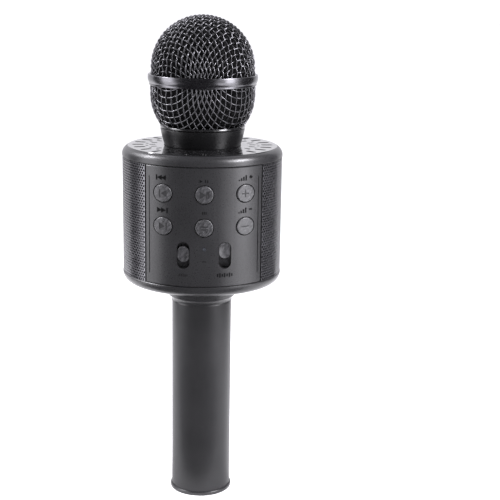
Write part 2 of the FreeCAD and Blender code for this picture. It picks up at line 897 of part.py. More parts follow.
def symbol_arrow(x, z, direction):
    """A triangle of a key's sunk symbol, pointing along +X or -X."""
    half = symbol_height / 2
    y = -drum_radius - cut_margin
    corners = [
        FreeCAD.Vector(x - direction * arrow_reach, y, z - half),
        FreeCAD.Vector(x + direction * arrow_reach, y, z),
        FreeCAD.Vector(x - direction * arrow_reach, y, z + half),
    ]
    face = Part.Face(Part.makePolygon(corners + corners[:1]))
    return face.extrude(Y_AXIS * (flange_wall_y - y))


def skip_symbol(x, z, direction):
    """An arrow against an upright bar."""
    return [
        symbol_arrow(x - direction * (symbol_stroke + symbol_gap) / 2, z, direction),
        symbol_bar(x + direction * (arrow_reach + symbol_gap / 2), z, symbol_stroke, symbol_height),
    ]


def play_symbol(x, z):
    """An arrow and two upright bars."""
    first = x + arrow_reach - symbol_stroke / 2
    second = first + symbol_stroke + symbol_gap
    arrow = symbol_arrow(x - symbol_stroke - symbol_gap, z, 1)
    return [arrow] + [symbol_bar(place, z, symbol_stroke, symbol_height) for place in (first, second)]


def mode_symbol(x, z):
    """Two level bars."""
    rise = symbol_stroke + symbol_gap / 2
    return [symbol_bar(x, z + side * rise, symbol_height, symbol_stroke) for side in (-1, 1)]


def volume_symbol(x, z, raised):
    """A plus where the sound is raised, otherwise a minus."""
    strokes = [symbol_bar(x, z, symbol_height, symbol_stroke)]
    if raised:
        strokes.append(symbol_bar(x, z, symbol_stroke, symbol_height))
    return strokes


def key_layout():
    """Each key's name, its place and the shapes of its sunk symbol."""
    lower, upper = button_row_z
    side = button_column_x
    return [
        ("previous", -side, upper, skip_symbol(-side, upper, -1)),
        ("next", -side, lower, skip_symbol(-side, lower, 1)),
        ("play", 0, upper, play_symbol(0, upper)),
        ("mode", 0, lower, mode_symbol(0, lower)),
        ("volume_up", side, upper, volume_symbol(side, upper, True)),
        ("volume_down", side, lower, volume_symbol(side, lower, False)),
    ]


def button_cap(x, z, symbol):
    """A round key whose face follows the drum, with a flange and a plunger behind the panel."""
    face_radius = drum_radius + button_proud
    below = FreeCAD.Vector(0, 0, z - 2 * button_radius)
    start = FreeCAD.Vector(x, -face_radius, z)
    length = face_radius + button_flange_front_y
    key = rod(button_radius, start, Y_AXIS, length)
    key = solid_of(key.common(rod(face_radius, below, Z_AXIS, 4 * button_radius)))
    rim = [e for e in key.Edges if e.BoundBox.YMax < guide_back_y - drum_wall]
    key = key.makeFillet(button_edge_round, rim)
    keep = rod(face_radius - symbol_depth, below, Z_AXIS, 4 * button_radius)
    marks = [shape.cut(keep) for shape in symbol]
    key = key.cut(Part.makeCompound(marks))
    flange_start = FreeCAD.Vector(x, button_flange_front_y, z)
    flange = rod(button_flange_radius, flange_start, Y_AXIS, button_flange_thickness)
    plunger_start = FreeCAD.Vector(x, button_flange_back_y, z)
    plunger = rod(tact_stem_radius, plunger_start, Y_AXIS, plunger_length)
    return fused([key, flange, plunger])


def make_buttons():
    """Six keys, each with its own switch stem, over six fixed switch bodies."""
    bodies = []
    half = tact_side / 2
    stem_depth = tact_stem_height + 2 * button_travel
    for name, x, z, symbol in key_layout():
        save(name + "_button", button_cap(x, z, symbol))
        tip = FreeCAD.Vector(x, stem_tip_y, z)
        save(name + "_key_stem", rod(tact_stem_radius, tip, Y_AXIS, stem_depth))
        body = block((x - half, x + half), (tact_face_y, board_front_y), (z - half, z + half))
        well_depth = stem_depth - tact_stem_height + button_travel + fit_gap
        well = rod(tact_stem_radius + fit_gap, FreeCAD.Vector(x, tact_face_y, z), Y_AXIS, well_depth)
        bodies.append(body.cut(well))
    save("key_switches", Part.makeCompound(bodies))


def slide_knob(x, z):
    """An oval dished knob with a cover plate and a post that reaches the switch."""
    plate_front = slide_guide_back_y + fit_gap
    plate_back = plate_front + knob_plate_thickness
    width = slide_slot_width - 2 * knob_gap
    face_radius = drum_radius - knob_recess
    body = front_stadium(x, z, width, knob_length, -drum_radius, plate_front)
    drum = rod(face_radius, FreeCAD.Vector(0, 0, z - knob_length), Z_AXIS, 2 * knob_length)
    body = solid_of(body.common(drum))
    ball_radius = (knob_length ** 2 / 4 + knob_dish_depth ** 2) / (2 * knob_dish_depth)
    lean = math.atan2(x, drum_radius)
    reach = face_radius + ball_radius - knob_dish_depth
    middle = FreeCAD.Vector(reach * math.sin(lean), -reach * math.cos(lean), z)
    body = body.cut(Part.makeSphere(ball_radius, middle))
    half_width = slide_slot_width / 2 + plate_side_lap
    half_length = slide_slot_length / 2 + plate_end_lap
    plate = block(
        (x - half_width, x + half_width),
        (plate_front, plate_back),
        (z - half_length, z + half_length),
    )
    half_post = slide_post_side / 2
    post_end = slide_body_face_y + slide_post_entry
    post = block((x - half_post, x + half_post), (plate_back, post_end), (z - half_post, z + half_post))
    return fused([body, plate, post])


def make_slide_switches():
    """Two knobs that slide up and down, over two fixed switch bodies."""
    bodies = []
    reach = slide_slot_length / 2 - knob_length / 2
    for name, side, offset in (("echo", -1, left_knob_offset), ("remix", 1, right_knob_offset)):
        x = side * slide_x
        save(name + "_slide_knob", slide_knob(x, slide_z + offset))
        half_x = slide_body_width / 2
        half_z = slide_body_length / 2
        body = block(
            (x - half_x, x + half_x),
            (slide_body_face_y, board_front_y),
            (slide_z - half_z, slide_z + half_z),
        )
        gap = slide_post_side / 2 + fit_gap
        slot = block(
            (x - gap, x + gap),
            (slide_body_face_y, slide_body_face_y + slide_well_depth),
            (slide_z - reach - gap, slide_z + reach + gap),
        )
        bodies.append(body.cut(slot))
    save("slide_switches", Part.makeCompound(bodies))


def make_key_board():
    """Flat circuit board behind the front panel."""
    board = block(
        (-board_half_width, board_half_width),
        (board_front_y, board_back_y),
        (board_bottom_z, board_top_z),
    )
    holes = []
    for x, z in board_post_points():
        start = FreeCAD.Vector(x, board_front_y, z)
        holes.append(rod(screw_radius + fit_gap, start, Y_AXIS, board_thickness))
    save("key_board", cut(board, holes))


def make_indicator():
    """Small pilot light lens in the front panel."""
    start = FreeCAD.Vector(0, -drum_radius, indicator_z)
    lens = rod(indicator_radius, start, Y_AXIS, drum_wall + indicator_tail)
    stop = FreeCAD.Vector(0, -panel_inner_radius + fit_gap, indicator_z)
    flange = rod(2 * indicator_radius, stop, Y_AXIS, indicator_tail)
    below = FreeCAD.Vector(0, 0, indicator_z - drum_wall)
    keep = rod(drum_radius, below, Z_AXIS, 2 * drum_wall)
    save("indicator_light", fused([lens.common(keep), flange]))


# ------------------------------------------------------- main board and ports


def make_main_board():
    """Upright circuit board down the middle of the drum, edge on to the connectors."""
    faces = (main_board_x - board_thickness, main_board_x)
    back = port_face_y - fit_gap
    board = block(faces, (main_board_front_y, back), (handle_top_z + loose_gap, board_top_z))
    foot_front = back - usb_depth
    foot = block(faces, (foot_front, back), (board_bottom_z - main_board_foot, handle_top_z + loose_gap))
    save("main_board", fused([board, foot]))


def hollow_socket(x_size, z_size, depth, wall, z):
    """A metal socket shell on the board, open towards the back."""
    start = port_nose_y - depth
    shell = block(
        (main_board_x, main_board_x + x_size),
        (start, port_nose_y),
        (z - z_size / 2, z + z_size / 2),
    )
    mouth = block(
        (main_board_x + wall, main_board_x + x_size - wall),
        (start + 2 * wall, port_nose_y),
        (z - z_size / 2 + wall, z + z_size / 2 - wall),
    )
    return shell.cut(mouth)


def make_usb_socket():
    """USB socket with its tongue."""
    shell = hollow_socket(usb_height, usb_width, usb_depth, usb_wall, usb_z)
    tongue_x = main_board_x + (usb_height - usb_tongue_thickness) / 2 + usb_tongue_offset
    half_width = usb_width / 2 - usb_tongue_margin
    tongue = block(
        (tongue_x, tongue_x + usb_tongue_thickness),
        (port_nose_y - usb_depth, port_nose_y - usb_tongue_setback),
        (usb_z - half_width, usb_z + half_width),
    )
    save("usb_socket", fused([shell, tongue]))


def make_charging_socket():
    """Small charging socket with its tongue."""
    shell = hollow_socket(micro_height, micro_width, micro_depth, micro_wall, micro_z)
    x = main_board_x + micro_height / 2
    half_thickness = micro_tongue_thickness / 2
    half_width = micro_tongue_width / 2
    tongue = block(
        (x - half_thickness, x + half_thickness),
        (port_nose_y - micro_depth, port_nose_y - micro_tongue_setback),
        (micro_z - half_width, micro_z + half_width),
    )
    save("charging_socket", fused([shell, tongue]))


def make_card_socket():
    """Flat memory card slot."""
    x = main_board_x + card_height / 2
    body = block(
        (main_board_x, main_board_x + card_height),
        (port_nose_y - card_depth, port_nose_y),
        (card_z - card_width / 2, card_z + card_width / 2),
    )
    slot = block(
        (x - card_mouth_height / 2, x + card_mouth_height / 2),
        (port_nose_y - card_depth + card_back_wall, port_nose_y),
        (card_z - card_mouth_width / 2, card_z + card_mouth_width / 2),
    )
    save("card_socket", body.cut(slot))


def make_audio_jack():
    """Round audio jack in a square body."""
    x = main_board_x + jack_side / 2
    body_end = port_face_y - fit_gap
    nose_start = FreeCAD.Vector(x, body_end, jack_z)
    nose = rod(jack_nose_radius, nose_start, Y_AXIS, port_nose_y - body_end)
    body = block(
        (main_board_x, main_board_x + jack_side),
        (body_end - jack_depth, body_end),
        (jack_z - jack_side / 2, jack_z + jack_side / 2),
    )
    mouth = FreeCAD.Vector(x, port_nose_y, jack_z)
    bore = rod(jack_bore_radius, mouth, -Y_AXIS, jack_depth)
    save("audio_jack", fused([body, nose]).cut(bore))


# ------------------------------------------------------------ neck and grille


def make_neck():
    """Flared neck that stands on the drum, with a floor for the microphone capsule."""
    base = drum_top_z
    flange_top = cover_ceiling_z
    flange_bottom = flange_top - neck_flange_thickness
    floor_top = neck_top_z - ring_sleeve_length - loose_gap
    floor_bottom = floor_top - neck_floor_thickness
    ledge_radius = neck_bore_radius - neck_floor_ledge
    seat = gasket_thickness + fit_gap
    seat_radius = sleeve_radius + gasket_width + 2 * fit_gap
    waist_z = base + neck_waist_height_share * neck_height
    outline = [
        (wire_hole_radius, floor_bottom),
        (ledge_radius, floor_bottom),
        (ledge_radius, flange_bottom),
        (neck_flange_radius, flange_bottom),
        (neck_flange_radius, flange_top),
        (neck_stem_radius, flange_top),
        (neck_stem_radius, base + fit_gap),
        (neck_base_radius, base + fit_gap),
        (neck_top_radius, neck_top_z - edge_break, neck_waist_radius, waist_z),
        (neck_top_radius - edge_break, neck_top_z),
        (seat_radius, neck_top_z),
        (seat_radius, neck_top_z - seat),
        (neck_bore_radius, neck_top_z - seat),
        (neck_bore_radius, floor_top),
        (wire_hole_radius, floor_top),
    ]
    flange_foot = neck_screw_points(flange_bottom)
    holes = [rod(screw_radius + fit_gap, p, Z_AXIS, neck_flange_thickness) for p in flange_foot]
    save("neck", cut(lathe(outline), holes))
    return floor_top


def make_gasket():
    """Flat rubber ring between the neck and the grille's screw ring."""
    bottom = neck_top_z - gasket_thickness
    inner = sleeve_radius + fit_gap
    save("grille_gasket", tube(inner + gasket_width, inner, bottom, neck_top_z))


def make_screw_ring():
    """Rounded ring at the foot of the grille; its sleeve screws into the neck."""
    r = ring_flange_height / 2
    middle_z = flange_bottom_z + r
    outer = ring_flange_radius
    foot = neck_top_z - ring_sleeve_length
    outline = [
        (sleeve_bore_radius, foot),
        (sleeve_radius, foot),
        (sleeve_radius, flange_bottom_z),
        (outer - r, flange_bottom_z),
        (outer - r, flange_top_z, outer, middle_z),
        (sleeve_bore_radius, flange_top_z),
    ]
    save("grille_screw_ring", lathe(outline))


def bowl_reach(radius):
    """Half-width of a sphere about the bowl's centre, at the bowl's foot."""
    return math.sqrt(radius ** 2 - bowl_depth ** 2)


def make_grille():
    """Wire bowl, belt and dome, and the foam that lines them."""
    outer = bowl_radius
    inner = bowl_radius - mesh_thickness
    foot_angle = math.degrees(math.asin(-bowl_depth / outer))
    inner_angle = math.degrees(math.asin(-bowl_depth / inner))
    bowl_top = belt_bottom_z + mesh_seat_depth
    bowl = [
        (bowl_reach(inner), flange_top_z),
        (bowl_reach(outer), flange_top_z),
        (outer, bowl_centre_z, *arc_middle(0, bowl_centre_z, outer, foot_angle, 0)),
        (outer, bowl_top),
        (inner, bowl_top),
        (inner, bowl_centre_z),
        (bowl_reach(inner), flange_top_z, *arc_middle(0, bowl_centre_z, inner, 0, inner_angle)),
    ]
    save("grille_bowl", lathe(bowl))
    dome_inner = dome_radius - mesh_thickness
    dome_foot = belt_top_z - mesh_seat_depth
    dome = [
        (dome_inner, dome_foot),
        (dome_radius, dome_foot),
        (dome_radius, dome_centre_z),
        (0, dome_centre_z + dome_radius, *arc_middle(0, dome_centre_z, dome_radius, 0, 90)),
        (0, dome_centre_z + dome_inner),
        (dome_inner, dome_centre_z, *arc_middle(0, dome_centre_z, dome_inner, 0, 90)),
    ]
    save("grille_dome", lathe(dome))
    belt_inner = min(inner, dome_inner)
    belt_middle = (belt_bottom_z + belt_top_z) / 2
    edge = belt_radius - belt_bulge
    belt = [
        (belt_inner, bowl_top),
        (outer, bowl_top),
        (outer, belt_bottom_z),
        (edge, belt_bottom_z),
        (edge, belt_top_z, belt_radius, belt_middle),
        (dome_radius, belt_top_z),
        (dome_radius, dome_foot),
        (belt_inner, dome_foot),
    ]
    save("grille_belt", lathe(belt))
    make_foam(belt_inner - foam_gap)


def make_foam(outer):
    """Open foam windscreen inside the wire grille."""
    inner = outer - foam_thickness
    foot_z = flange_top_z + loose_gap
    drop = bowl_centre_z - foot_z
    outer_foot = math.sqrt(outer ** 2 - drop ** 2)
    inner_foot = math.sqrt(inner ** 2 - drop ** 2)
    outer_angle = math.degrees(math.asin(-drop / outer))
    inner_angle = math.degrees(math.asin(-drop / inner))
    foam = [
        (inner_foot, foot_z),
        (outer_foot, foot_z),
        (outer, bowl_centre_z, *arc_middle(0, bowl_centre_z, outer, outer_angle, 0)),
        (outer, dome_centre_z),
        (0, dome_centre_z + outer, *arc_middle(0, dome_centre_z, outer, 0, 90)),
        (0, dome_centre_z + inner),
        (inner, dome_centre_z, *arc_middle(0, dome_centre_z, inner, 0, 90)),
        (inner, bowl_centre_z),
        (inner_foot, foot_z, *arc_middle(0, bowl_centre_z, inner, 0, inner_angle)),
    ]
    save("foam_windscreen", lathe(foam))


def make_capsule(floor_top):
    """Microphone capsule with a pierced face, held in a rubber cup on the neck's floor."""
    cup_outer = capsule_radius + holder_wall
    cup_top = floor_top + holder_height
    seat_z = cup_top - capsule_seat_depth
    cup = [
        (wire_hole_radius, floor_top),
        (holder_flange_radius, floor_top),
        (holder_flange_radius, floor_top + holder_flange_thickness),
        (cup_outer, floor_top + 2 * holder_flange_thickness),
        (cup_outer, cup_top),
        (capsule_radius, cup_top),
        (capsule_radius, seat_z),
        (wire_hole_radius, seat_z),
    ]
    save("capsule_holder", lathe(cup))
    can = rod(capsule_radius, FreeCAD.Vector(0, 0, seat_z), Z_AXIS, capsule_height)
    rim = [e for e in can.Edges if e.BoundBox.ZMin > seat_z + capsule_height - edge_break]
    can = can.makeFillet(edge_break, rim)
    face_z = seat_z + capsule_height - capsule_face_thickness
    centre = FreeCAD.Vector(0, 0, face_z)
    aside = centre + X_AXIS * (capsule_hole_ring_share * capsule_radius)
    outer = rod(capsule_hole_radius, aside, Z_AXIS, 2 * capsule_face_thickness)
    middle = rod(capsule_hole_radius, centre, Z_AXIS, 2 * capsule_face_thickness)
    angles = [i * 360 / capsule_hole_count for i in range(capsule_hole_count)]
    save("mic_capsule", cut(can, around(outer, angles) + [middle]))


# ----------------------------------------------------------------- fasteners


def screw(head, direction, length):
    """A pan-head screw whose head's outer face is centred on a point."""
    top = rod(screw_head_radius, head, direction, screw_head_height)
    shank = rod(screw_radius, head, direction, length)
    recess = rod(screw_recess_share * screw_head_radius, head, direction, screw_recess_depth)
    return solid_of(top.fuse(shank).cut(recess))


def make_screws():
    """Screws of the drum covers, the key board and the handle, each set in one node."""
    sunk = screw_head_height
    lower = [screw(p, Z_AXIS, screw_length + drum_wall) for p in cover_screw_points(drum_floor_z)]
    save("bottom_screws", Part.makeCompound(lower))
    upper = [screw(p, -Z_AXIS, screw_length) for p in cover_screw_points(disc_floor_z)]
    neck_heads = neck_screw_points(cover_ceiling_z - neck_flange_thickness - sunk)
    upper += [screw(p, Z_AXIS, sunk + neck_flange_thickness + neck_screw_depth) for p in neck_heads]
    save("top_screws", Part.makeCompound(upper))
    board = []
    for x, z in board_post_points():
        head = FreeCAD.Vector(x, board_back_y + sunk, z)
        board.append(screw(head, -Y_AXIS, screw_length))
    save("key_board_screws", Part.makeCompound(board))
    side = []
    head_x = handle_radius + fit_gap / 2 + drum_wall + sunk
    for direction in (-1, 1):
        head = FreeCAD.Vector(direction * head_x, 0, handle_screw_height())
        side.append(screw(head, -X_AXIS * direction, handle_wall + drum_wall + sunk + screw_bite))
    save("handle_screws", Part.makeCompound(side))


make_end_cap()
make_handle_tube()
make_handle_collar()
make_battery()
make_bottom_cover()
make_top_cover()
make_top_disc()
make_front_panel()
make_rear_panel()
make_side_grilles()
make_inner_frame()
make_speakers()
make_buttons()
make_slide_switches()
make_key_board()
make_indicator()
make_main_board()
make_usb_socket()
make_charging_socket()
make_card_socket()
make_audio_jack()
make_capsule(make_neck())
make_gasket()
make_screw_ring()
make_grille()
make_screws()
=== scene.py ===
"""Looks of the karaoke microphone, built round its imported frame. Lengths are in metres."""

import json
import math

import bmesh
import bpy
from mathutils import Matrix, Vector, noise


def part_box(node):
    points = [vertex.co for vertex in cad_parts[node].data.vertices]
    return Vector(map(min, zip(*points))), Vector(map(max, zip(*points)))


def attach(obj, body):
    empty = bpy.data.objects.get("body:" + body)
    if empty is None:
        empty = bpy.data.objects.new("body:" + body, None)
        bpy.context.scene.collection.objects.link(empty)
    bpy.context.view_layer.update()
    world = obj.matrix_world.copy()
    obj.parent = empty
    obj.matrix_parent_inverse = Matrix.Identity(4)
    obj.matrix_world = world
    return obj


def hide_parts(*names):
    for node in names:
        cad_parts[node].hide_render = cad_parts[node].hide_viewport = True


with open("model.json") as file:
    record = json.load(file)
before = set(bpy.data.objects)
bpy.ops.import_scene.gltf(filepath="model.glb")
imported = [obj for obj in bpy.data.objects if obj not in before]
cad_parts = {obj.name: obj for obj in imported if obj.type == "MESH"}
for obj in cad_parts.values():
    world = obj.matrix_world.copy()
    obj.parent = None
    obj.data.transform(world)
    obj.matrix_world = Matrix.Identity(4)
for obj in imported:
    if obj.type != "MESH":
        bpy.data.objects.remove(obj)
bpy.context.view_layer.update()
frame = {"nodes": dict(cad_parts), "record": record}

MM = 0.001
HOUSING = "housing"
GRILLE = "grille"


# ---------------------------------------------------------------- finishes


class Finish:
    """A material with its Principled shader, and short ways to feed it."""

    def __init__(self, name, **constants):
        self.material = bpy.data.materials.new(name)
        self.material.use_nodes = True
        self.nodes = self.material.node_tree.nodes
        self.links = self.material.node_tree.links
        self.skin = self.nodes["Principled BSDF"]
        self.place = self.nodes.new("ShaderNodeTexCoord").outputs["Object"]
        for socket, value in constants.items():
            self.skin.inputs[socket.replace("_", " ")].default_value = value

    def node(self, kind, **settings):
        made = self.nodes.new(kind)
        for key, value in settings.items():
            setattr(made, key, value)
        return made

    def stretched(self, scale):
        """The object's coordinates, scaled by axis."""
        mapping = self.node("ShaderNodeMapping")
        mapping.inputs["Scale"].default_value = scale
        self.links.new(self.place, mapping.inputs["Vector"])
        return mapping.outputs["Vector"]

    def noise(self, scale, detail=3.0, rough=0.55, place=None):
        made = self.node("ShaderNodeTexNoise")
        made.inputs["Scale"].default_value = scale
        made.inputs["Detail"].default_value = detail
        made.inputs["Roughness"].default_value = rough
        self.links.new(place or self.place, made.inputs["Vector"])
        return made.outputs["Fac"]

    def cells(self, scale, feature="F1", place=None):
        made = self.node("ShaderNodeTexVoronoi", feature=feature)
        made.inputs["Scale"].default_value = scale
        self.links.new(place or self.place, made.inputs["Vector"])
        return made.outputs["Distance"]

    def ramp(self, source, stops):
        made = self.node("ShaderNodeValToRGB")
        elements = made.color_ramp.elements
        while len(elements) < len(stops):
            elements.new(0.5)
        for element, (at, colour) in zip(elements, stops):
            element.position = at
            element.color = (*colour, 1.0)
        self.links.new(source, made.inputs["Fac"])
        return made.outputs["Color"]

    def between(self, source, low, high, start=0.3, end=0.7):
        made = self.node("ShaderNodeMapRange")
        for key, value in (("From Min", start), ("From Max", end), ("To Min", low), ("To Max", high)):
            made.inputs[key].default_value = value
        self.links.new(source, made.inputs["Value"])
        return made.outputs["Result"]

    def blend(self, mask, first, second):
        """Two colours mixed by a mask."""
        made = self.node("ShaderNodeMix", data_type="RGBA")
        self.links.new(mask, made.inputs[0])
        self.links.new(first, made.inputs[6])
        self.links.new(second, made.inputs[7])
        return made.outputs[2]

    def relief(self, height, strength, depth, under=None):
        made = self.node("ShaderNodeBump")
        made.inputs["Strength"].default_value = strength
        made.inputs["Distance"].default_value = depth
        self.links.new(height, made.inputs["Height"])
        if under is not None:
            self.links.new(under, made.inputs["Normal"])
        return made.outputs["Normal"]

    def feed(self, **sources):
        for socket, source in sources.items():
            self.links.new(source, self.skin.inputs[socket.replace("_", " ")])
        return self.material


def grey(value):
    """A grey with a slight cool cast."""
    return (value * 0.98, value * 0.97, value * 1.03)


def moulded(name, dark, light, rough, grain=2600.0, relief=0.25, **constants):
    """Moulded plastic or paint: cloudy colour, fine grain, faint rubbed specks."""
    finish = Finish(name, **constants)
    cloud = finish.noise(45.0, 4.0)
    fine = finish.noise(grain, 2.0)
    specks = finish.noise(900.0, 5.0, 0.7)
    tint = finish.ramp(cloud, [(0.3, dark), (0.7, light)])
    rubbed = finish.ramp(cloud, [(0.3, [c * 1.5 for c in light]), (0.7, [c * 1.8 for c in light])])
    mask = finish.between(specks, 0.0, 0.55, 0.66, 0.76)
    colour = finish.blend(mask, tint, rubbed)
    gloss = finish.between(fine, rough - 0.05, rough + 0.07)
    return finish.feed(Base_Color=colour, Roughness=gloss, Normal=finish.relief(fine, relief, 0.05 * MM))


def key_with_painted_streaks():
    """Satin key tops with fine slanting brush marks, and painted highlight streaks along them."""
    finish = Finish("satin_key_painted_streaks", Specular_IOR_Level=0.6)
    turn = finish.node("ShaderNodeMapping", vector_type="TEXTURE")
    turn.inputs["Rotation"].default_value = (0.0, math.radians(38), 0.0)
    turn.inputs["Scale"].default_value = (0.5 * MM, 2.0 * MM, 1.8 * MM)
    finish.links.new(finish.place, turn.inputs["Vector"])
    marks = finish.noise(1.0, 4.0, 0.6, turn.outputs["Vector"])
    cloud = finish.noise(160.0, 3.0)
    # Colour along the brush marks: the pale streaks are a painted highlight; the grain in roughness and
    # bump is real.
    tint = finish.ramp(marks, [(0.34, grey(0.012)), (0.5, grey(0.028)), (0.66, grey(0.075))])
    worn = finish.ramp(cloud, [(0.3, grey(0.03)), (0.7, grey(0.05))])
    colour = finish.blend(finish.between(cloud, 0.6, 1.0), worn, tint)
    gloss = finish.between(marks, 0.26, 0.46)
    return finish.feed(Base_Color=colour, Roughness=gloss, Normal=finish.relief(marks, 0.4, 0.08 * MM))


def glossy_black():
    """Piano-black plastic with faint wiping marks and dust."""
    finish = Finish("piano_black", Coat_Weight=0.6, Coat_Roughness=0.05, Specular_IOR_Level=0.6)
    haze = finish.noise(70.0, 4.0)
    dust = finish.noise(2400.0, 3.0, 0.7)
    tint = finish.ramp(haze, [(0.3, grey(0.006)), (0.7, grey(0.011))])
    dusty = finish.ramp(dust, [(0.4, grey(0.02)), (0.8, grey(0.09))])
    colour = finish.blend(finish.between(dust, 0.0, 0.5, 0.68, 0.78), tint, dusty)
    gloss = finish.between(haze, 0.1, 0.2)
    return finish.feed(Base_Color=colour, Roughness=gloss, Normal=finish.relief(haze, 0.08, 0.15 * MM))


def dark_chrome():
    """Smoked chrome with a slightly uneven polish."""
    finish = Finish("smoked_chrome", Metallic=1.0)
    wave = finish.noise(120.0, 2.0)
    scuffs = finish.noise(1.0, 4.0, 0.6, finish.stretched((500.0, 500.0, 5200.0)))
    colour = finish.ramp(wave, [(0.3, grey(0.11)), (0.7, grey(0.16))])
    gloss = finish.between(scuffs, 0.18, 0.3)
    return finish.feed(Base_Color=colour, Roughness=gloss, Normal=finish.relief(wave, 0.12, 0.25 * MM))


def wire_enamel():
    """Black nickel over crimped steel wire, thin where the wires rub."""
    finish = Finish("wire_enamel", Metallic=0.85, Specular_IOR_Level=0.7)
    runs = finish.noise(900.0, 3.0)
    rubs = finish.noise(420.0, 5.0, 0.7)
    tint = finish.ramp(runs, [(0.3, grey(0.07)), (0.7, grey(0.12))])
    bare = finish.ramp(runs, [(0.3, grey(0.3)), (0.7, grey(0.45))])
    colour = finish.blend(finish.between(rubs, 0.0, 0.5, 0.64, 0.72), tint, bare)
    gloss = finish.between(runs, 0.16, 0.28)
    return finish.feed(Base_Color=colour, Roughness=gloss, Normal=finish.relief(runs, 0.2, 0.05 * MM))


def woven(name, dark, light, pitch):
    """Plain woven cloth with threads at a given pitch."""
    finish = Finish(name, Specular_IOR_Level=0.1)
    turns = math.tau / pitch
    bands = []
    for axis in ("Y", "Z"):
        wave = finish.node("ShaderNodeTexWave", bands_direction=axis, wave_profile="SIN")
        wave.inputs["Scale"].default_value = turns / 20.0
        wave.inputs["Distortion"].default_value = 0.4
        wave.inputs["Detail"].default_value = 1.0
        finish.links.new(finish.place, wave.inputs["Vector"])
        bands.append(wave.outputs["Fac"])
    product = finish.node("ShaderNodeMath", operation="MULTIPLY")
    finish.links.new(bands[0], product.inputs[0])
    finish.links.new(bands[1], product.inputs[1])
    threads = product.outputs["Value"]
    colour = finish.ramp(threads, [(0.1, dark), (0.8, light)])
    gloss = finish.between(threads, 0.95, 0.75, 0.0, 1.0)
    return finish.feed(Base_Color=colour, Roughness=gloss, Normal=finish.relief(threads, 0.6, 0.1 * MM))


def open_foam(name, dark, light, pore, **constants):
    """Reticulated foam: pale struts, with painted shade in the pores between them."""
    finish = Finish(name, **constants)
    shaded_pores = finish.cells(1.0 / pore)
    small = finish.noise(2.2 / pore, 3.0)
    # Darker towards each cell's middle: painted shade in the pores.
    colour = finish.ramp(shaded_pores, [(0.15, dark), (0.75, light)])
    gloss = finish.between(small, 0.85, 1.0)
    under = finish.relief(small, 0.4, 0.15 * MM)
    pitted = finish.relief(shaded_pores, 0.9, 0.5 * MM, under)
    return finish.feed(Base_Color=colour, Roughness=gloss, Normal=pitted)


def bare_metal(name, dark, light, rough, stretch, **constants):
    """Plated, drawn or cast metal with marks along its stretch."""
    finish = Finish(name, Metallic=1.0, **constants)
    marks = finish.noise(1.0, 4.0, 0.6, finish.stretched(stretch))
    cloud = finish.noise(200.0, 3.0)
    colour = finish.ramp(cloud, [(0.3, dark), (0.7, light)])
    gloss = finish.between(marks, rough - 0.07, rough + 0.1)
    return finish.feed(Base_Color=colour, Roughness=gloss, Normal=finish.relief(marks, 0.2, 0.03 * MM))


def speaker_sheet():
    """Satin painted steel sheet, paler in fine random specks where the paint is rubbed."""
    finish = Finish("speaker_sheet_paint", Metallic=0.85, Specular_IOR_Level=0.6)
    cloud = finish.noise(60.0, 4.0)
    fine = finish.noise(3000.0, 2.0)
    tint = finish.ramp(cloud, [(0.3, grey(0.145)), (0.7, grey(0.18))])
    rubbed = finish.ramp(cloud, [(0.3, grey(0.19)), (0.7, grey(0.245))])
    colour = finish.blend(finish.between(fine, 0.0, 0.3, 0.6, 0.74), tint, rubbed)
    gloss = finish.between(cloud, 0.22, 0.3)
    return finish.feed(Base_Color=colour, Roughness=gloss, Normal=finish.relief(fine, 0.05, 0.02 * MM))


def circuit_board():
    """Green solder mask over faint copper tracks."""
    finish = Finish("circuit_green", Coat_Weight=0.3)
    tracks = finish.cells(420.0, "DISTANCE_TO_EDGE")
    cloud = finish.noise(120.0)
    mask = finish.ramp(cloud, [(0.3, (0.006, 0.055, 0.025)), (0.7, (0.01, 0.085, 0.04))])
    copper = finish.ramp(cloud, [(0.3, (0.02, 0.14, 0.06)), (0.7, (0.03, 0.2, 0.09))])
    colour = finish.blend(finish.between(tracks, 1.0, 0.0, 0.02, 0.06), mask, copper)
    gloss = finish.between(cloud, 0.25, 0.4)
    return finish.feed(Base_Color=colour, Roughness=gloss, Normal=finish.relief(tracks, 0.3, 0.05 * MM))


def pilot_lens():
    """Clouded translucent lens."""
    finish = Finish("pilot_lens", Transmission_Weight=0.15, IOR=1.45)
    cloud = finish.noise(900.0)
    colour = finish.ramp(cloud, [(0.3, (0.020, 0.022, 0.026)), (0.7, (0.04, 0.043, 0.05))])
    gloss = finish.between(cloud, 0.12, 0.3)
    return finish.feed(Base_Color=colour, Roughness=gloss, Normal=finish.relief(cloud, 0.15, 0.05 * MM))


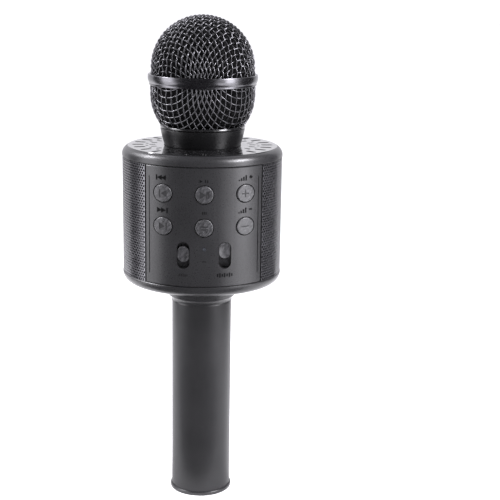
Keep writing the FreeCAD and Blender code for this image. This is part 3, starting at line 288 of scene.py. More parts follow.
FINISHES = {
    "shell": moulded("charcoal_shell", grey(0.013), grey(0.018), 0.3, 2400.0, 0.12, Specular_IOR_Level=0.5),
    "handle_coat": moulded(
        "handle_lacquer", grey(0.0145), grey(0.0195), 0.38, 3200.0, 0.14, Specular_IOR_Level=0.26
    ),
    "key_plastic": key_with_painted_streaks(),
    "gloss_black": glossy_black(),
    "wire_enamel": wire_enamel(),
    "dark_chrome": dark_chrome(),
    "speaker_sheet": speaker_sheet(),
    "dust_cloth": woven("dust_cloth_weave", grey(0.0015), grey(0.004), 0.5 * MM),
    "foam": open_foam("windscreen_foam", grey(0.002), grey(0.007), 0.9 * MM, Specular_IOR_Level=0.05),
    "black_rubber": moulded("black_rubber", grey(0.012), grey(0.02), 0.7, 1800.0, 0.3),
    "frame_plastic": moulded(
        "frame_plastic", grey(0.0015), grey(0.003), 0.75, 1500.0, 0.3, Specular_IOR_Level=0.15
    ),
    "basket_steel": bare_metal("basket_paint", grey(0.05), grey(0.08), 0.5, (300.0, 900.0, 900.0)),
    "magnet_iron": bare_metal("magnet_iron", grey(0.16), grey(0.26), 0.5, (900.0, 700.0, 700.0)),
    "cone_paper": moulded("cone_paper", grey(0.02), grey(0.035), 0.85, 1200.0, 0.8),
    "board_green": circuit_board(),
    "switch_plastic": moulded("switch_plastic", grey(0.018), grey(0.028), 0.45, 2200.0, 0.2),
    "plated_steel": bare_metal("plated_steel", grey(0.5), grey(0.62), 0.25, (400.0, 400.0, 4000.0)),
    "light_lens": pilot_lens(),
    "capsule_can": bare_metal("capsule_can", grey(0.42), grey(0.55), 0.3, (700.0, 700.0, 3000.0)),
    "cell_wrap": moulded("cell_wrap", (0.02, 0.07, 0.22), (0.03, 0.1, 0.3), 0.3, 800.0, 0.15),
    "sleeve_foam": open_foam("sleeve_foam", grey(0.01), grey(0.04), 0.6 * MM, Sheen_Weight=0.15),
}
INK = moulded("marking_ink", grey(0.001), grey(0.003), 0.85, 2600.0, 0.2, Specular_IOR_Level=0.1)
KEY_PAINT = moulded("key_paint", grey(0.012), grey(0.022), 0.5, 2600.0, 0.2, Specular_IOR_Level=0.3)
NECK_SATIN = moulded("satin_neck", grey(0.005), grey(0.009), 0.3, 2400.0, 0.15, Specular_IOR_Level=0.3)


def dress_frame():
    """Gives every CAD node the finish of its material slot; the neck is duller than the disc."""
    slots = {part["node"]: part["material_slot"] for part in frame["record"]["subparts"]}
    for name, node in frame["nodes"].items():
        for slot in node.material_slots:
            slot.material = NECK_SATIN if name == "neck" else FINISHES[slots[name]]


# ------------------------------------------------------------ piece helpers


def finished(name, shape, slot, body, material=None, sharp=35.0):
    """Turns a bmesh into a piece that rides on a body and carries a finish."""
    mesh = bpy.data.meshes.new(name)
    shape.to_mesh(mesh)
    shape.free()
    return placed(name, mesh, slot, body, material, sharp)


def placed(name, mesh, slot, body, material=None, sharp=35.0):
    """Puts a mesh in the scene as a smooth-shaded piece of the object."""
    for face in mesh.polygons:
        face.use_smooth = True
    mesh.set_sharp_from_angle(angle=math.radians(sharp))
    mesh.materials.clear()
    mesh.materials.append(material or FINISHES[slot])
    piece = bpy.data.objects.new(name, mesh)
    bpy.context.scene.collection.objects.link(piece)
    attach(piece, body)
    return piece


def tidied(shape):
    """Merges doubles and turns every face outwards."""
    bmesh.ops.remove_doubles(shape, verts=shape.verts[:], dist=0.001 * MM)
    bmesh.ops.recalc_face_normals(shape, faces=shape.faces[:])
    return shape


def lathed(outline, steps=128):
    """A closed (radius, height) outline spun about the Z axis."""
    shape = bmesh.new()
    ring = [shape.verts.new((radius, 0.0, height)) for radius, height in outline]
    edges = [shape.edges.new((ring[i - 1], ring[i])) for i in range(len(ring))]
    bmesh.ops.spin(
        shape,
        geom=ring + edges,
        cent=(0.0, 0.0, 0.0),
        axis=(0.0, 0.0, 1.0),
        angle=math.tau,
        steps=steps,
        use_merge=True,
        use_duplicate=False,
    )
    return tidied(shape)


def arc(radius, height, size, start, end, steps):
    """Points of an arc in the (radius, height) plane, in degrees."""
    points = []
    for i in range(steps + 1):
        turn = math.radians(start + (end - start) * i / steps)
        points.append((radius + size * math.cos(turn), height + size * math.sin(turn)))
    return points


# ----------------------------------------------------------------- grille

DOME_WIRE_RADIUS = 0.36 * MM
BOWL_WIRE_RADIUS = 0.34 * MM
DOME_PITCH = 2.85 * MM
BOWL_PITCH = 3.3 * MM
WIRE_POINTS = 4
DOME_CRIMP = 0.40 * MM
BOWL_CRIMP = 0.18 * MM
WIRE_ROUNDNESS = 2
WEAVE_TURN = math.radians(45)
MESH_TUCK = 0.1 * MM
RING_LAP = 0.15 * MM
BAND_SHARE = 0.35  # depth of the straight band under the half sphere, in radii
THINNEST_MESH = 0.3  # a mesh pulled thinner than this share of a square ends the net


def bowl_middle():
    """Height of the centre of the bowl's round part, which ends on the screw ring."""
    low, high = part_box("grille_bowl")
    foot_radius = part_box("grille_screw_ring")[1].x - RING_LAP
    return low.z + math.sqrt(high.x ** 2 - foot_radius ** 2)


def draped_net(pitch_angle, lowest):
    """Places on a unit sphere where the wires of a square mesh cross when it is draped from +Z.

    Both wires through the pole are great circles. Each further crossing is the mirror image of the
    one before it in the plane of its two neighbours, so that every side keeps its length.
    """
    warp = Vector((math.cos(WEAVE_TURN), math.sin(WEAVE_TURN), 0.0))
    weft = Vector((-math.sin(WEAVE_TURN), math.cos(WEAVE_TURN), 0.0))
    pole = Vector((0.0, 0.0, 1.0))
    reach = int(math.pi / pitch_angle)
    corner = {}
    for i in range(reach):
        corner[i, 0] = pole * math.cos(i * pitch_angle) + warp * math.sin(i * pitch_angle)
        corner[0, i] = pole * math.cos(i * pitch_angle) + weft * math.sin(i * pitch_angle)
    for i in range(1, reach):
        for j in range(1, reach):
            sides = [corner.get(key) for key in ((i - 1, j), (i, j - 1), (i - 1, j - 1))]
            if None in sides:
                continue
            across = sides[0].cross(sides[1])
            if across.length < THINNEST_MESH * pitch_angle * pitch_angle:
                continue
            across.normalize()
            corner[i, j] = sides[2] - across * 2.0 * sides[2].dot(across)
            if corner[i, j].z < lowest:
                del corner[i, j]
    net = {}
    for (i, j), point in corner.items():
        if point.z < lowest:
            continue
        for si in (-1, 1):
            for sj in (-1, 1):
                along, over = point.dot(warp) * si, point.dot(weft) * sj
                net[i * si, j * sj] = warp * along + weft * over + pole * point.z
    return net


def wire_runs(net, crimp):
    """Each wire of the net as a list of (direction, crimp) points."""
    span = max(max(abs(i), abs(j)) for i, j in net)
    runs = []
    for family in (0, 1):
        for fixed in range(-span, span + 1):
            run = []
            for moving in range(-span, span):
                here = (moving, fixed) if family == 0 else (fixed, moving)
                ahead = (moving + 1, fixed) if family == 0 else (fixed, moving + 1)
                if here not in net or ahead not in net:
                    if len(run) > 1:
                        runs.append(run)
                    run = []
                    continue
                sign = 1 if (here[0] + here[1] + family) % 2 == 0 else -1
                steps = range(WIRE_POINTS + 1) if not run else range(1, WIRE_POINTS + 1)
                for step in steps:
                    share = step / WIRE_POINTS
                    direction = net[here].lerp(net[ahead], share).normalized()
                    run.append((direction, sign * crimp * math.cos(math.pi * share)))
            if len(run) > 1:
                runs.append(run)
    return runs


def clipped(points, low, high):
    """The parts of a line of points whose heights lie between two limits, cut exactly at them."""
    parts, part = [], []
    for before, after in zip(points, points[1:]):
        inside = low <= before.z <= high
        if inside:
            part.append(before)
        for limit in (low, high):
            if (before.z - limit) * (after.z - limit) < 0:
                part.append(before.lerp(after, (limit - before.z) / (after.z - before.z)))
                if inside and len(part) > 1:
                    parts.append(part)
                    part = []
    if part and low <= points[-1].z <= high:
        part.append(points[-1])
    if len(part) > 1:
        parts.append(part)
    return parts


def woven_shell(name, radius, centre, upward, wire, pitch, crimp, low, high, replaced):
    """Crimped wires draped over half a sphere and the straight band that follows it."""
    middle = radius - wire - crimp
    net = draped_net(pitch / middle, -BAND_SHARE)
    curve = bpy.data.curves.new(name, "CURVE")
    curve.dimensions = "3D"
    curve.bevel_depth = wire
    curve.bevel_resolution = WIRE_ROUNDNESS
    curve.use_fill_caps = True
    flip = 1.0 if upward else -1.0
    for run in wire_runs(net, crimp):
        line = []
        for direction, lift in run:
            reach = middle + lift
            if direction.z >= 0:
                point = direction * reach
            else:
                flat = Vector((direction.x, direction.y, 0.0)).normalized() * reach
                point = flat + Vector((0.0, 0.0, middle * direction.z))
            line.append(Vector((point.x, point.y, centre + flip * point.z)))
        for part in clipped(line, low, high):
            spline = curve.splines.new("POLY")
            spline.points.add(len(part) - 1)
            for target, point in zip(spline.points, part):
                target.co = (*point, 1.0)
    maker = bpy.data.objects.new(name + "_line", curve)
    bpy.context.scene.collection.objects.link(maker)
    graph = bpy.context.evaluated_depsgraph_get()
    mesh = bpy.data.meshes.new_from_object(maker.evaluated_get(graph))
    bpy.data.objects.remove(maker)
    piece = placed(name, mesh, "wire_enamel", GRILLE, sharp=60.0)
    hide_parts(replaced)


def make_grille():
    """Wire dome, wire bowl, the belt between them and the foam inside."""
    dome_low, dome_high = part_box("grille_dome")
    bowl_low, bowl_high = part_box("grille_bowl")
    dome_radius = dome_high.x
    woven_shell(
        "dome_wires",
        dome_radius,
        dome_high.z - dome_radius,
        True,
        DOME_WIRE_RADIUS,
        DOME_PITCH,
        DOME_CRIMP,
        dome_low.z + MESH_TUCK,
        dome_high.z,
        "grille_dome",
    )
    woven_shell(
        "bowl_wires",
        bowl_high.x,
        bowl_middle(),
        False,
        BOWL_WIRE_RADIUS,
        BOWL_PITCH,
        BOWL_CRIMP,
        bowl_low.z - MESH_TUCK,
        bowl_high.z - MESH_TUCK,
        "grille_bowl",
    )
    make_belt()
    make_foam_ball()


BELT_WALL = 1.6 * MM
BELT_LIP = 0.22 * MM
BELT_LIP_SETBACK = 0.95 * MM
BELT_CURL = 2.2 * BELT_LIP
BELT_FOOT = 0.05 * MM
# How far each place stands back from the widest one, and its height over the foot or under the top.
BELT_FLANK = {
    "foot": (1.0 * MM, 0.9 * MM),
    "swell": (0.02 * MM, 2.6 * MM),
    "brow": (0.35 * MM, 0.5 * MM),
}
BELT_FLANK_STEPS = 14
BELT_INNER_EDGE = ((0.1 * MM, 0.12 * MM), (0.0, 0.3 * MM))


def belt_flank(low, high):
    """The bowed face of the belt, from its foot over its swell to its brow."""
    foot, swell, brow = (BELT_FLANK[name] for name in ("foot", "swell", "brow"))
    start = Vector((high.x - foot[0], low.z + foot[1]))
    middle = Vector((high.x - swell[0], low.z + swell[1]))
    end = Vector((high.x - brow[0], high.z - brow[1]))
    points = []
    for i in range(BELT_FLANK_STEPS + 1):
        share = i / BELT_FLANK_STEPS
        points.append(tuple(start.lerp(middle, share).lerp(middle.lerp(end, share), share)))
    return points


def make_belt():
    """Pressed band between the two wire shells, swelling to its upper edge, with a thin lower lip."""
    low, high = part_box("grille_belt")
    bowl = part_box("grille_bowl")[1]
    dome_low, dome_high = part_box("grille_dome")
    inner = dome_high.x - BELT_WALL
    lip_middle = high.x - BELT_LIP_SETBACK - BELT_LIP
    brow = 2 * BELT_LIP
    brow_middle = high.x - BELT_FLANK["brow"][0] - brow
    outline = [(inner, bowl.z), (bowl.x, bowl.z), (bowl.x, low.z + BELT_FOOT)]
    outline += arc(lip_middle, low.z + BELT_LIP, BELT_LIP, -90, -20, 5)
    outline += arc(lip_middle, low.z + BELT_CURL, BELT_LIP, -20, 30, 3)
    outline += belt_flank(low, high)
    outline += arc(brow_middle, high.z - BELT_CURL, brow, 20, 90, 6)
    outline += [(dome_high.x + across, high.z - drop) for across, drop in BELT_INNER_EDGE]
    outline += [(dome_high.x, dome_low.z), (inner, dome_low.z)]
    belt = finished("belt_band", lathed(outline, steps=160), "dark_chrome", GRILLE, sharp=50.0)
    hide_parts("grille_belt")


FOAM_GAP = 0.25 * MM
FOAM_WALL = 4.0 * MM
FOAM_LUMPS = ((900.0, 0.2 * MM), (260.0, 0.12 * MM))


def make_foam_ball():
    """Foam lining with an uneven cut surface."""
    low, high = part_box("foam_windscreen")
    outer = high.x - FOAM_GAP
    inner = outer - FOAM_WALL
    low_centre = bowl_middle()
    high_centre = high.z - high.x
    drop = low_centre - low.z
    outer_foot = -math.degrees(math.asin(drop / outer))
    inner_foot = -math.degrees(math.asin(drop / inner))
    outline = arc(0.0, low_centre, outer, outer_foot, 0, 16)
    outline += arc(0.0, high_centre, outer, 0, 90, 26)
    outline += arc(0.0, high_centre, inner, 90, 0, 18)
    outline += arc(0.0, low_centre, inner, 0, inner_foot, 12)
    shape = lathed(outline, steps=112)
    for vertex in shape.verts:
        lift = sum(noise.noise(vertex.co * scale) * depth for scale, depth in FOAM_LUMPS)
        vertex.co += vertex.normal * min(lift, FOAM_LUMPS[0][1])
    foam = finished("foam_ball", shape, "foam", GRILLE, sharp=80.0)
    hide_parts("foam_windscreen")


# ------------------------------------------------------------ speaker sides

HOLE_PITCH = 1.45 * MM
HOLE_RADIUS = 0.56 * MM
SHEET_THICKNESS = 0.6 * MM
EDGE_TRIM = 0.3 * MM
CELL_INSET = 0.12 * MM
CLOTH_THICKNESS = 0.25 * MM
CLOTH_INSET = 0.03 * MM
CLOTH_RIPPLE = 0.02 * MM
CLOTH_STEPS = (48, 40)
RIPPLES_AROUND = 9.0
RIPPLES_UPWARD = 300.0


def side_span(node):
    """Outer radius, half angle and height limits of a curved side piece."""
    low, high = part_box(node)
    radius = max(abs(low.x), abs(high.x))
    return math.asin(high.y / radius), radius, low.z, high.z


def perforated_sheet(name, node, turn):
    """Curved sheet with staggered round holes, from a brick pattern of six-sided cells."""
    half_angle, radius, low, high = side_span(node)
    width = 2 * (half_angle * radius - EDGE_TRIM)
    height = high - low
    columns = 2 * round(width / HOLE_PITCH)
    rows = round(height / (HOLE_PITCH * math.sqrt(3) / 2))
    shape = bmesh.new()
    bmesh.ops.create_grid(shape, x_segments=columns, y_segments=rows, size=1.0)
    bmesh.ops.scale(shape, vec=(columns / 2, rows / 2, 1.0), verts=shape.verts[:])
    joints = []
    for edge in shape.edges:
        a, b = edge.verts
        if abs(a.co.x - b.co.x) > 0.5:
            continue
        column = round(a.co.x + columns / 2)
        row = round((a.co.y + b.co.y) / 2 + rows / 2 - 0.5)
        if 0 < column < columns and (column + row) % 2 == 0:
            joints.append(edge)
    bmesh.ops.dissolve_edges(shape, edges=joints, use_verts=False)
    bmesh.ops.scale(shape, vec=(width / columns, height / rows, 1.0), verts=shape.verts[:])
    half_cell = width / columns * height / rows
    cells = [face for face in shape.faces if len(face.verts) == 6 and face.calc_area() > 1.5 * half_cell]
    bmesh.ops.inset_individual(shape, faces=cells, thickness=CELL_INSET, use_even_offset=True)
    rims = list({edge for face in cells for edge in face.edges})
    bmesh.ops.subdivide_edges(shape, edges=rims, cuts=1)
    for face in cells:
        centre = face.calc_center_bounds()
        for vertex in face.verts:
            vertex.co = centre + (vertex.co - centre).normalized() * HOLE_RADIUS
    bmesh.ops.delete(shape, geom=cells, context="FACES")
    bmesh.ops.solidify(shape, geom=shape.faces[:], thickness=SHEET_THICKNESS)
    front = max(vertex.co.z for vertex in shape.verts)
    middle = (low + high) / 2
    for vertex in shape.verts:
        angle = vertex.co.x / radius + turn
        reach = radius - (front - vertex.co.z)
        vertex.co = (reach * math.cos(angle), reach * math.sin(angle), vertex.co.y + middle)
    bmesh.ops.recalc_face_normals(shape, faces=shape.faces[:])
    sheet = finished(name, shape, "speaker_sheet", HOUSING)
    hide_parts(node)


def dust_cloth(name, node, turn):
    """Thin woven cloth stretched behind the holes."""
    half_angle, radius, low, high = side_span(node)
    shape = bmesh.new()
    bmesh.ops.create_grid(shape, x_segments=CLOTH_STEPS[0], y_segments=CLOTH_STEPS[1], size=1.0)
    bmesh.ops.scale(shape, vec=(half_angle, (high - low) / 2, 1.0), verts=shape.verts[:])
    bmesh.ops.solidify(shape, geom=shape.faces[:], thickness=CLOTH_THICKNESS)
    front = max(vertex.co.z for vertex in shape.verts)
    middle = (low + high) / 2
    for vertex in shape.verts:
        angle, height, depth = vertex.co
        place = Vector((angle * RIPPLES_AROUND, height * RIPPLES_UPWARD, turn))
        reach = radius - CLOTH_INSET + CLOTH_RIPPLE * noise.noise(place) - (front - depth)
        vertex.co = (reach * math.cos(angle + turn), reach * math.sin(angle + turn), height + middle)
    bmesh.ops.recalc_face_normals(shape, faces=shape.faces[:])
    cloth = finished(name, shape, "dust_cloth", HOUSING)
    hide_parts(node)


def make_speaker_sides():
    """A perforated sheet and the cloth behind it, on each side of the drum."""
    for side, turn in (("left", math.pi), ("right", 0.0)):
        perforated_sheet(side + "_perforated_sheet", side + "_speaker_grille", turn)
        dust_cloth(side + "_cloth", side + "_dust_cloth", turn)


# ------------------------------------------------------------- markings
# Places and sizes of marks are in millimetres, x across and z up, on the front of a round face.

INK_LIFT = 0.03 * MM
PANEL_RADIUS = 40.0 * MM
STROKE = 0.7
THIN_STROKE = 0.4
FINE_STROKE = 0.3
POINTER_REACH = 0.45  # half the length of an arrow head, in its heights


def on_round_face(x, z, radius):
    """The place on the front of a round face about the Z axis, for a place given in millimetres."""
    return Vector((x * MM, -math.sqrt(radius ** 2 - (x * MM) ** 2), z * MM))


def ink_patch(shape, corners, radius, lift=INK_LIFT):
    """A thin patch of ink that follows a round face, from just under it to just over it."""
    patch = shape.faces.new([shape.verts.new(on_round_face(x, z, radius - lift)) for x, z in corners])
    raised = bmesh.ops.extrude_face_region(shape, geom=[patch])["geom"]
    for vertex in raised:
        if isinstance(vertex, bmesh.types.BMVert):
            vertex.co = on_round_face(vertex.co.x / MM, vertex.co.z / MM, radius + lift)


def bar(x, z, width, height):
    """Corners of an upright or level bar round its middle."""
    half_w, half_h = width / 2, height / 2
    left, right, low, high = x - half_w, x + half_w, z - half_h, z + half_h
    return [(left, low), (right, low), (right, high), (left, high)]


def pointer(x, z, size, way):
    """Corners of an arrow head that points left (-1) or right (1)."""
    reach = way * POINTER_REACH * size
    return [(x - reach, z - size / 2), (x + reach, z), (x - reach, z + size / 2)]


LABEL_HEIGHT = 2.6
SMALL_LABEL = 1.6
KEY_COLUMN = 19.6
SLIDE_COLUMN = 9.95
OVER_UPPER_KEYS = 171.3
OVER_LOWER_KEYS = 155.7
UNDER_SLIDES = 124.8
SKIP_ARROWS = (-0.62, 0.12)  # places in label heights
SKIP_BAR = {1: 0.78, -1: -1.12}
LEVEL_STEP = 0.42
LEVEL_BARS = 4
LEVEL_BARS_X = KEY_COLUMN - 1.4
LEVEL_MARK_X = KEY_COLUMN + 2.6
LEVEL_MARK_RISE = 0.3
PLAY_LABEL_DROP = 0.9
PLAY_LABEL_BARS = (0.4, 1.5)
MODE_LABEL_DROP = 0.5
MODE_LABEL_BARS = (-0.8, 0.0, 0.8)
MODE_LABEL_HEIGHT = 1.3
RIGHT_ROW_STEP = 1.15
RIGHT_ROW_HEIGHTS = (2.1, 1.4)
LEFT_ROW_STEP = 0.9
LEFT_ROW_HEIGHTS = (1.5, 1.2, 0.9)
DASH = (0.0, 131.6, 1.9, 0.35)


def skip_arrows(x, z, size, way):
    """Two arrows and a bar, pointing left or right."""
    arrows = [pointer(x + place * size, z, size, way) for place in SKIP_ARROWS]
    return arrows + [bar(x + SKIP_BAR[way] * size, z, STROKE, size)]


def rising_bars(x, z, size, count):
    """A row of bars, each taller than the last."""
    bars = []
    for i in range(count):
        tall = size * (i + 1) / count
        place = x + LEVEL_STEP * size * (i - (count - 1) / 2)
        bars.append(bar(place, z - (size - tall) / 2, STROKE, tall))
    return bars


def level_mark(x, z, size, raised):
    """A plus or a minus."""
    strokes = [bar(x, z, size, STROKE)]
    if raised:
        arm = (size - STROKE) / 2
        strokes += [bar(x, z + side * (arm + STROKE) / 2, STROKE, arm) for side in (-1, 1)]
    return strokes


def outer_key_labels():
    """Skip arrows over the left keys, rising bars with a plus or a minus over the right ones."""
    patches = skip_arrows(-KEY_COLUMN, OVER_UPPER_KEYS, LABEL_HEIGHT, -1)
    patches += skip_arrows(-KEY_COLUMN, OVER_LOWER_KEYS, LABEL_HEIGHT, 1)
    for z, raised in ((OVER_UPPER_KEYS, True), (OVER_LOWER_KEYS, False)):
        patches += rising_bars(LEVEL_BARS_X, z, LABEL_HEIGHT, LEVEL_BARS)
        patches += level_mark(LEVEL_MARK_X, z + LEVEL_MARK_RISE, SMALL_LABEL, raised)
    return patches


def middle_key_labels():
    """An arrow with two bars over the play key, three short bars over the mode key."""
    play_z = OVER_UPPER_KEYS - PLAY_LABEL_DROP
    mode_z = OVER_LOWER_KEYS - MODE_LABEL_DROP
    patches = [pointer(-SMALL_LABEL, play_z, SMALL_LABEL, 1)]
    patches += [bar(x, play_z, THIN_STROKE, SMALL_LABEL) for x in PLAY_LABEL_BARS]
    patches += [bar(x, mode_z, THIN_STROKE, MODE_LABEL_HEIGHT) for x in MODE_LABEL_BARS]
    return patches


def slide_labels():
    """Long and short bars in turn under the right slide, a small fading row under the left one."""
    right, left = SLIDE_COLUMN, -SLIDE_COLUMN
    row = [(right + RIGHT_ROW_STEP * i, STROKE, RIGHT_ROW_HEIGHTS[i % 2]) for i in range(-3, 4)]
    row += [(left + LEFT_ROW_STEP * i, FINE_STROKE, LEFT_ROW_HEIGHTS[abs(i)]) for i in range(-2, 3)]
    return [bar(x, UNDER_SLIDES, width, height) for x, width, height in row]


def make_markings():
    """Plain printed symbols over the keys and under the slides, and a dash under the pilot light."""
    shape = bmesh.new()
    for patch in outer_key_labels() + middle_key_labels() + slide_labels() + [bar(*DASH)]:
        ink_patch(shape, patch, PANEL_RADIUS)
    finished("panel_markings", tidied(shape), None, HOUSING, INK)


KEY_ROWS = {"upper": 163.9, "lower": 148.0}
KEY_FACE_RADIUS = 40.5 * MM
KEY_SYMBOL_DEPTH = 0.2 * MM
KEY_PAINT_LIFT = 0.09 * MM
SYMBOL_HEIGHT = 3.6
SYMBOL_STROKE = 0.55
SYMBOL_GAP = 0.25
SYMBOL_PITCH = SYMBOL_STROKE + SYMBOL_GAP
ARROW_REACH = 0.8 * SYMBOL_HEIGHT / 2
PAINT_MARGIN = 0.06
PAINT_HEIGHT = SYMBOL_HEIGHT - 2 * PAINT_MARGIN
PAINT_STROKE = SYMBOL_STROKE - 2 * PAINT_MARGIN
PLUS_ARM_PLACE = SYMBOL_HEIGHT / 4 + 0.1
PLUS_ARM = PAINT_HEIGHT / 2 - 0.35


def skip_paint(x, z, way):
    """An arrow and the bar it points at."""
    tip = x + way * (ARROW_REACH + SYMBOL_GAP / 2)
    return [
        pointer(x - way * SYMBOL_PITCH / 2, z, PAINT_HEIGHT, way),
        bar(tip, z, PAINT_STROKE, PAINT_HEIGHT),
    ]


def play_paint(x, z):
    """An arrow and two upright bars."""
    first = x + ARROW_REACH - SYMBOL_STROKE / 2
    bars = [bar(place, z, PAINT_STROKE, PAINT_HEIGHT) for place in (first, first + SYMBOL_PITCH)]
    return [pointer(x - SYMBOL_PITCH, z, PAINT_HEIGHT, 1)] + bars


def mode_paint(x, z):
    """Two level bars."""
    shift = SYMBOL_PITCH - SYMBOL_GAP / 2
    return [bar(x, z + side * shift, PAINT_HEIGHT, PAINT_STROKE) for side in (-1, 1)]


def minus_paint(x, z):
    """A minus."""
    return [bar(x, z, PAINT_HEIGHT, PAINT_STROKE)]


def plus_paint(x, z):
    """A plus, as a minus with an arm above and below."""
    arms = [bar(x, z + side * PLUS_ARM_PLACE, PAINT_STROKE, PLUS_ARM) for side in (-1, 1)]
    return minus_paint(x, z) + arms


KEY_SYMBOLS = (
    ("previous", -KEY_COLUMN, "upper", lambda x, z: skip_paint(x, z, -1)),
    ("next", -KEY_COLUMN, "lower", lambda x, z: skip_paint(x, z, 1)),
    ("play", 0.0, "upper", play_paint),
    ("mode", 0.0, "lower", mode_paint),
    ("volume_up", KEY_COLUMN, "upper", plus_paint),
    ("volume_down", KEY_COLUMN, "lower", minus_paint),
)


def make_key_symbols():
    """Dark paint in the sunk symbol of each key."""
    for name, column, row, strokes in KEY_SYMBOLS:
        shape = bmesh.new()
        for patch in strokes(column, KEY_ROWS[row]):
            ink_patch(shape, patch, KEY_FACE_RADIUS - KEY_SYMBOL_DEPTH, KEY_PAINT_LIFT)
        finished(name + "_symbol", tidied(shape), None, name + "_key", KEY_PAINT)


# ----------------------------------------------------------- hidden sleeve


SLEEVE_GAP = 0.1 * MM
CELL_GAP = 0.25 * MM
SLEEVE_ROUNDING = 0.6 * MM
SLEEVE_STEPS = 24
SLEEVE_DENTS = 400.0
DENT_DEPTH = 0.15 * MM


def make_cell_sleeve():
    """Soft foam sleeve round the cell, with slightly uneven ends."""
    low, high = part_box("battery_sleeve")
    outer = high.x - SLEEVE_GAP
    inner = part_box("battery_cell")[1].x + CELL_GAP
    rounding = SLEEVE_ROUNDING
    outline = arc(inner + rounding, low.z + rounding, rounding, 180, 270, 4)
    outline += arc(outer - rounding, low.z + rounding, rounding, 270, 360, 4)
    outline += [(outer, low.z + (high.z - low.z) * i / SLEEVE_STEPS) for i in range(1, SLEEVE_STEPS)]
    outline += arc(outer - rounding, high.z - rounding, rounding, 0, 90, 4)
    outline += arc(inner + rounding, high.z - rounding, rounding, 90, 180, 4)
    shape = lathed(outline, steps=64)
    for vertex in shape.verts:
        vertex.co -= vertex.normal * abs(noise.noise(vertex.co * SLEEVE_DENTS)) * DENT_DEPTH
    sleeve = finished("cell_sleeve", shape, "sleeve_foam", HOUSING, sharp=70.0)
    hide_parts("battery_sleeve")


# ------------------------------------------------------- floor, light, camera


FLOOR_REACH = 6.0
FLOOR_CELLS = 8


def make_floor():
    """A plain pale sheet of paper, far wider than the picture."""
    shape = bmesh.new()
    bmesh.ops.create_grid(shape, x_segments=FLOOR_CELLS, y_segments=FLOOR_CELLS, size=FLOOR_REACH)
    mesh = bpy.data.meshes.new("studio_floor")
    shape.to_mesh(mesh)
    shape.free()
    finish = Finish("studio_paper", Specular_IOR_Level=0.2)
    cloud = finish.noise(3.0, 2.0)
    colour = finish.ramp(cloud, [(0.3, (0.94, 0.94, 0.93)), (0.7, (0.96, 0.96, 0.95))])
    finish.feed(Base_Color=colour, Roughness=finish.between(cloud, 0.75, 0.85))
    mesh.materials.append(finish.material)
    floor = bpy.data.objects.new("studio_floor", mesh)
    bpy.context.scene.collection.objects.link(floor)


DAYLIGHT = (0.96, 0.95, 1.0)
WORLD_STRENGTH = 1.14
LIGHT_TARGET = (0.0, 0.0, 0.14)
SOFT_BOXES = (
    ("right_box", (0.63, -0.42, 0.25), (0.28, 0.8), 3.9),
    ("left_box", (-0.78, -0.14, 0.25), (0.4, 0.8), 2.9),
    ("upper_right_box", (0.42, -0.24, 0.55), (0.22, 0.22), 5.8),
    ("upper_left_box", (-0.46, 0.12, 0.55), (0.22, 0.22), 5.8),
)


def soft_light(name, place, size, power):
    """A rectangular soft box that faces the object."""
    light = bpy.data.lights.new(name, "AREA")
    light.shape = "RECTANGLE"
    light.size, light.size_y = size
    light.energy = power
    light.color = DAYLIGHT
    lamp = bpy.data.objects.new(name, light)
    lamp.location = place
    lamp.rotation_euler = (Vector(LIGHT_TARGET) - Vector(place)).to_track_quat("-Z", "Y").to_euler()
    bpy.context.scene.collection.objects.link(lamp)


def make_lights():
    """White surroundings and four soft boxes."""
    scene = bpy.context.scene
    scene.world = bpy.data.worlds.new("studio")
    scene.world.use_nodes = True
    background = scene.world.node_tree.nodes["Background"]
    background.inputs["Color"].default_value = (*DAYLIGHT, 1.0)
    background.inputs["Strength"].default_value = WORLD_STRENGTH
    for box in SOFT_BOXES:
        soft_light(*box)
    scene.view_settings.view_transform = "Standard"


FLAG_RADIUS = 0.30
FLAG_HALF_WIDTH = 0.26
FLAG_CENTRE = 0.152
FLAG_AZIMUTH = math.radians(-15.0)
FLAG_START = -30.0
FLAG_END = 100.0
FLAG_FOOT = 0.03
SIDE_CARDS = (("left_card", -122.0, -97.0), ("right_card", 78.0, 128.0))
SIDE_CARD_RADIUS = 0.34
SIDE_CARD_TOP = 0.50
CARD_STEPS = 24
CARD_LIFT = 0.002


def black_card(name, rows):
    """A black card through rows of two points, seen only by reflections."""
    shape = bmesh.new()
    bmesh.ops.create_grid(shape, x_segments=1, y_segments=len(rows) - 1, size=1.0)
    for vertex in shape.verts:
        row = rows[round((vertex.co.y + 1.0) / 2.0 * (len(rows) - 1))]
        vertex.co = row[0] if vertex.co.x < 0.0 else row[1]
    mesh = bpy.data.meshes.new(name)
    shape.to_mesh(mesh)
    shape.free()
    finish = Finish(name + "_felt", Specular_IOR_Level=0.0)
    nap = finish.noise(40.0)
    colour = finish.ramp(nap, [(0.3, grey(0.02)), (0.7, grey(0.04))])
    finish.feed(Base_Color=colour, Roughness=finish.between(nap, 0.9, 1.0))
    mesh.materials.append(finish.material)
    card = bpy.data.objects.new(name, mesh)
    card.visible_camera = False
    card.visible_diffuse = False
    card.visible_shadow = False
    bpy.context.scene.collection.objects.link(card)


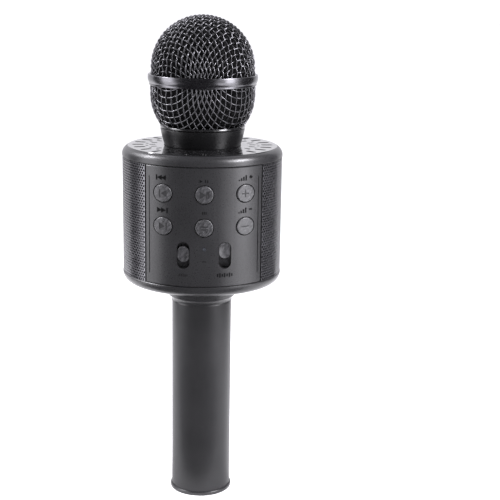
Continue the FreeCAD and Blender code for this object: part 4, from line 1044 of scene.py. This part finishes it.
def make_cards():
    """One card arches over the front, one stands on each side towards the back."""
    ahead = Vector((math.sin(FLAG_AZIMUTH), -math.cos(FLAG_AZIMUTH), 0.0))
    aside = Vector((math.cos(FLAG_AZIMUTH), math.sin(FLAG_AZIMUTH), 0.0)) * FLAG_HALF_WIDTH
    line = [ahead * FLAG_FOOT + Vector((0.0, 0.0, CARD_LIFT))]
    for i in range(CARD_STEPS + 1):
        rise = math.radians(FLAG_START + (FLAG_END - FLAG_START) * i / CARD_STEPS)
        height = FLAG_CENTRE + FLAG_RADIUS * math.sin(rise)
        line.append(ahead * FLAG_RADIUS * math.cos(rise) + Vector((0.0, 0.0, height)))
    black_card("front_flag", [(point - aside, point + aside) for point in line])
    for name, start, end in SIDE_CARDS:
        rows = []
        for i in range(CARD_STEPS + 1):
            turn = math.radians(start + (end - start) * i / CARD_STEPS)
            foot = Vector((math.sin(turn), -math.cos(turn), 0.0)) * SIDE_CARD_RADIUS
            rows.append([foot + Vector((0.0, 0.0, height)) for height in (CARD_LIFT, SIDE_CARD_TOP)])
        black_card(name, rows)


CAMERA_DISTANCE = 0.5901
CAMERA_HEIGHT = 0.2679
CAMERA_AZIMUTH = math.radians(1.5)
CAMERA_HEADING = math.radians(3.876)
CAMERA_PITCH = math.radians(13.317)
CAMERA_ROLL = math.radians(0.878)
CAMERA_LENS = 85.68
SENSOR_WIDTH = 36.0
NEAREST_SEEN = 0.01


def make_camera():
    """A long lens a little higher than the grille, looking slightly down."""
    data = bpy.data.cameras.new("camera")
    data.sensor_width = SENSOR_WIDTH
    data.lens = CAMERA_LENS
    data.clip_start = NEAREST_SEEN
    camera = bpy.data.objects.new("camera", data)
    forward = Vector((
        math.sin(CAMERA_HEADING) * math.cos(CAMERA_PITCH),
        math.cos(CAMERA_HEADING) * math.cos(CAMERA_PITCH),
        -math.sin(CAMERA_PITCH),
    ))
    level = Vector((math.cos(CAMERA_HEADING), -math.sin(CAMERA_HEADING), 0.0))
    upright = level.cross(forward)
    right = level * math.cos(CAMERA_ROLL) + upright * math.sin(CAMERA_ROLL)
    up = upright * math.cos(CAMERA_ROLL) - level * math.sin(CAMERA_ROLL)
    turn = Matrix((right, up, -forward)).transposed().to_4x4()
    away = Vector((-math.sin(CAMERA_AZIMUTH), -math.cos(CAMERA_AZIMUTH), 0.0)) * CAMERA_DISTANCE
    camera.matrix_world = Matrix.Translation(away + Vector((0.0, 0.0, CAMERA_HEIGHT))) @ turn
    bpy.context.scene.collection.objects.link(camera)
    bpy.context.scene.camera = camera


dress_frame()
make_grille()
make_speaker_sides()
make_markings()
make_key_symbols()
make_cell_sleeve()
make_floor()
make_lights()
make_cards()
make_camera()
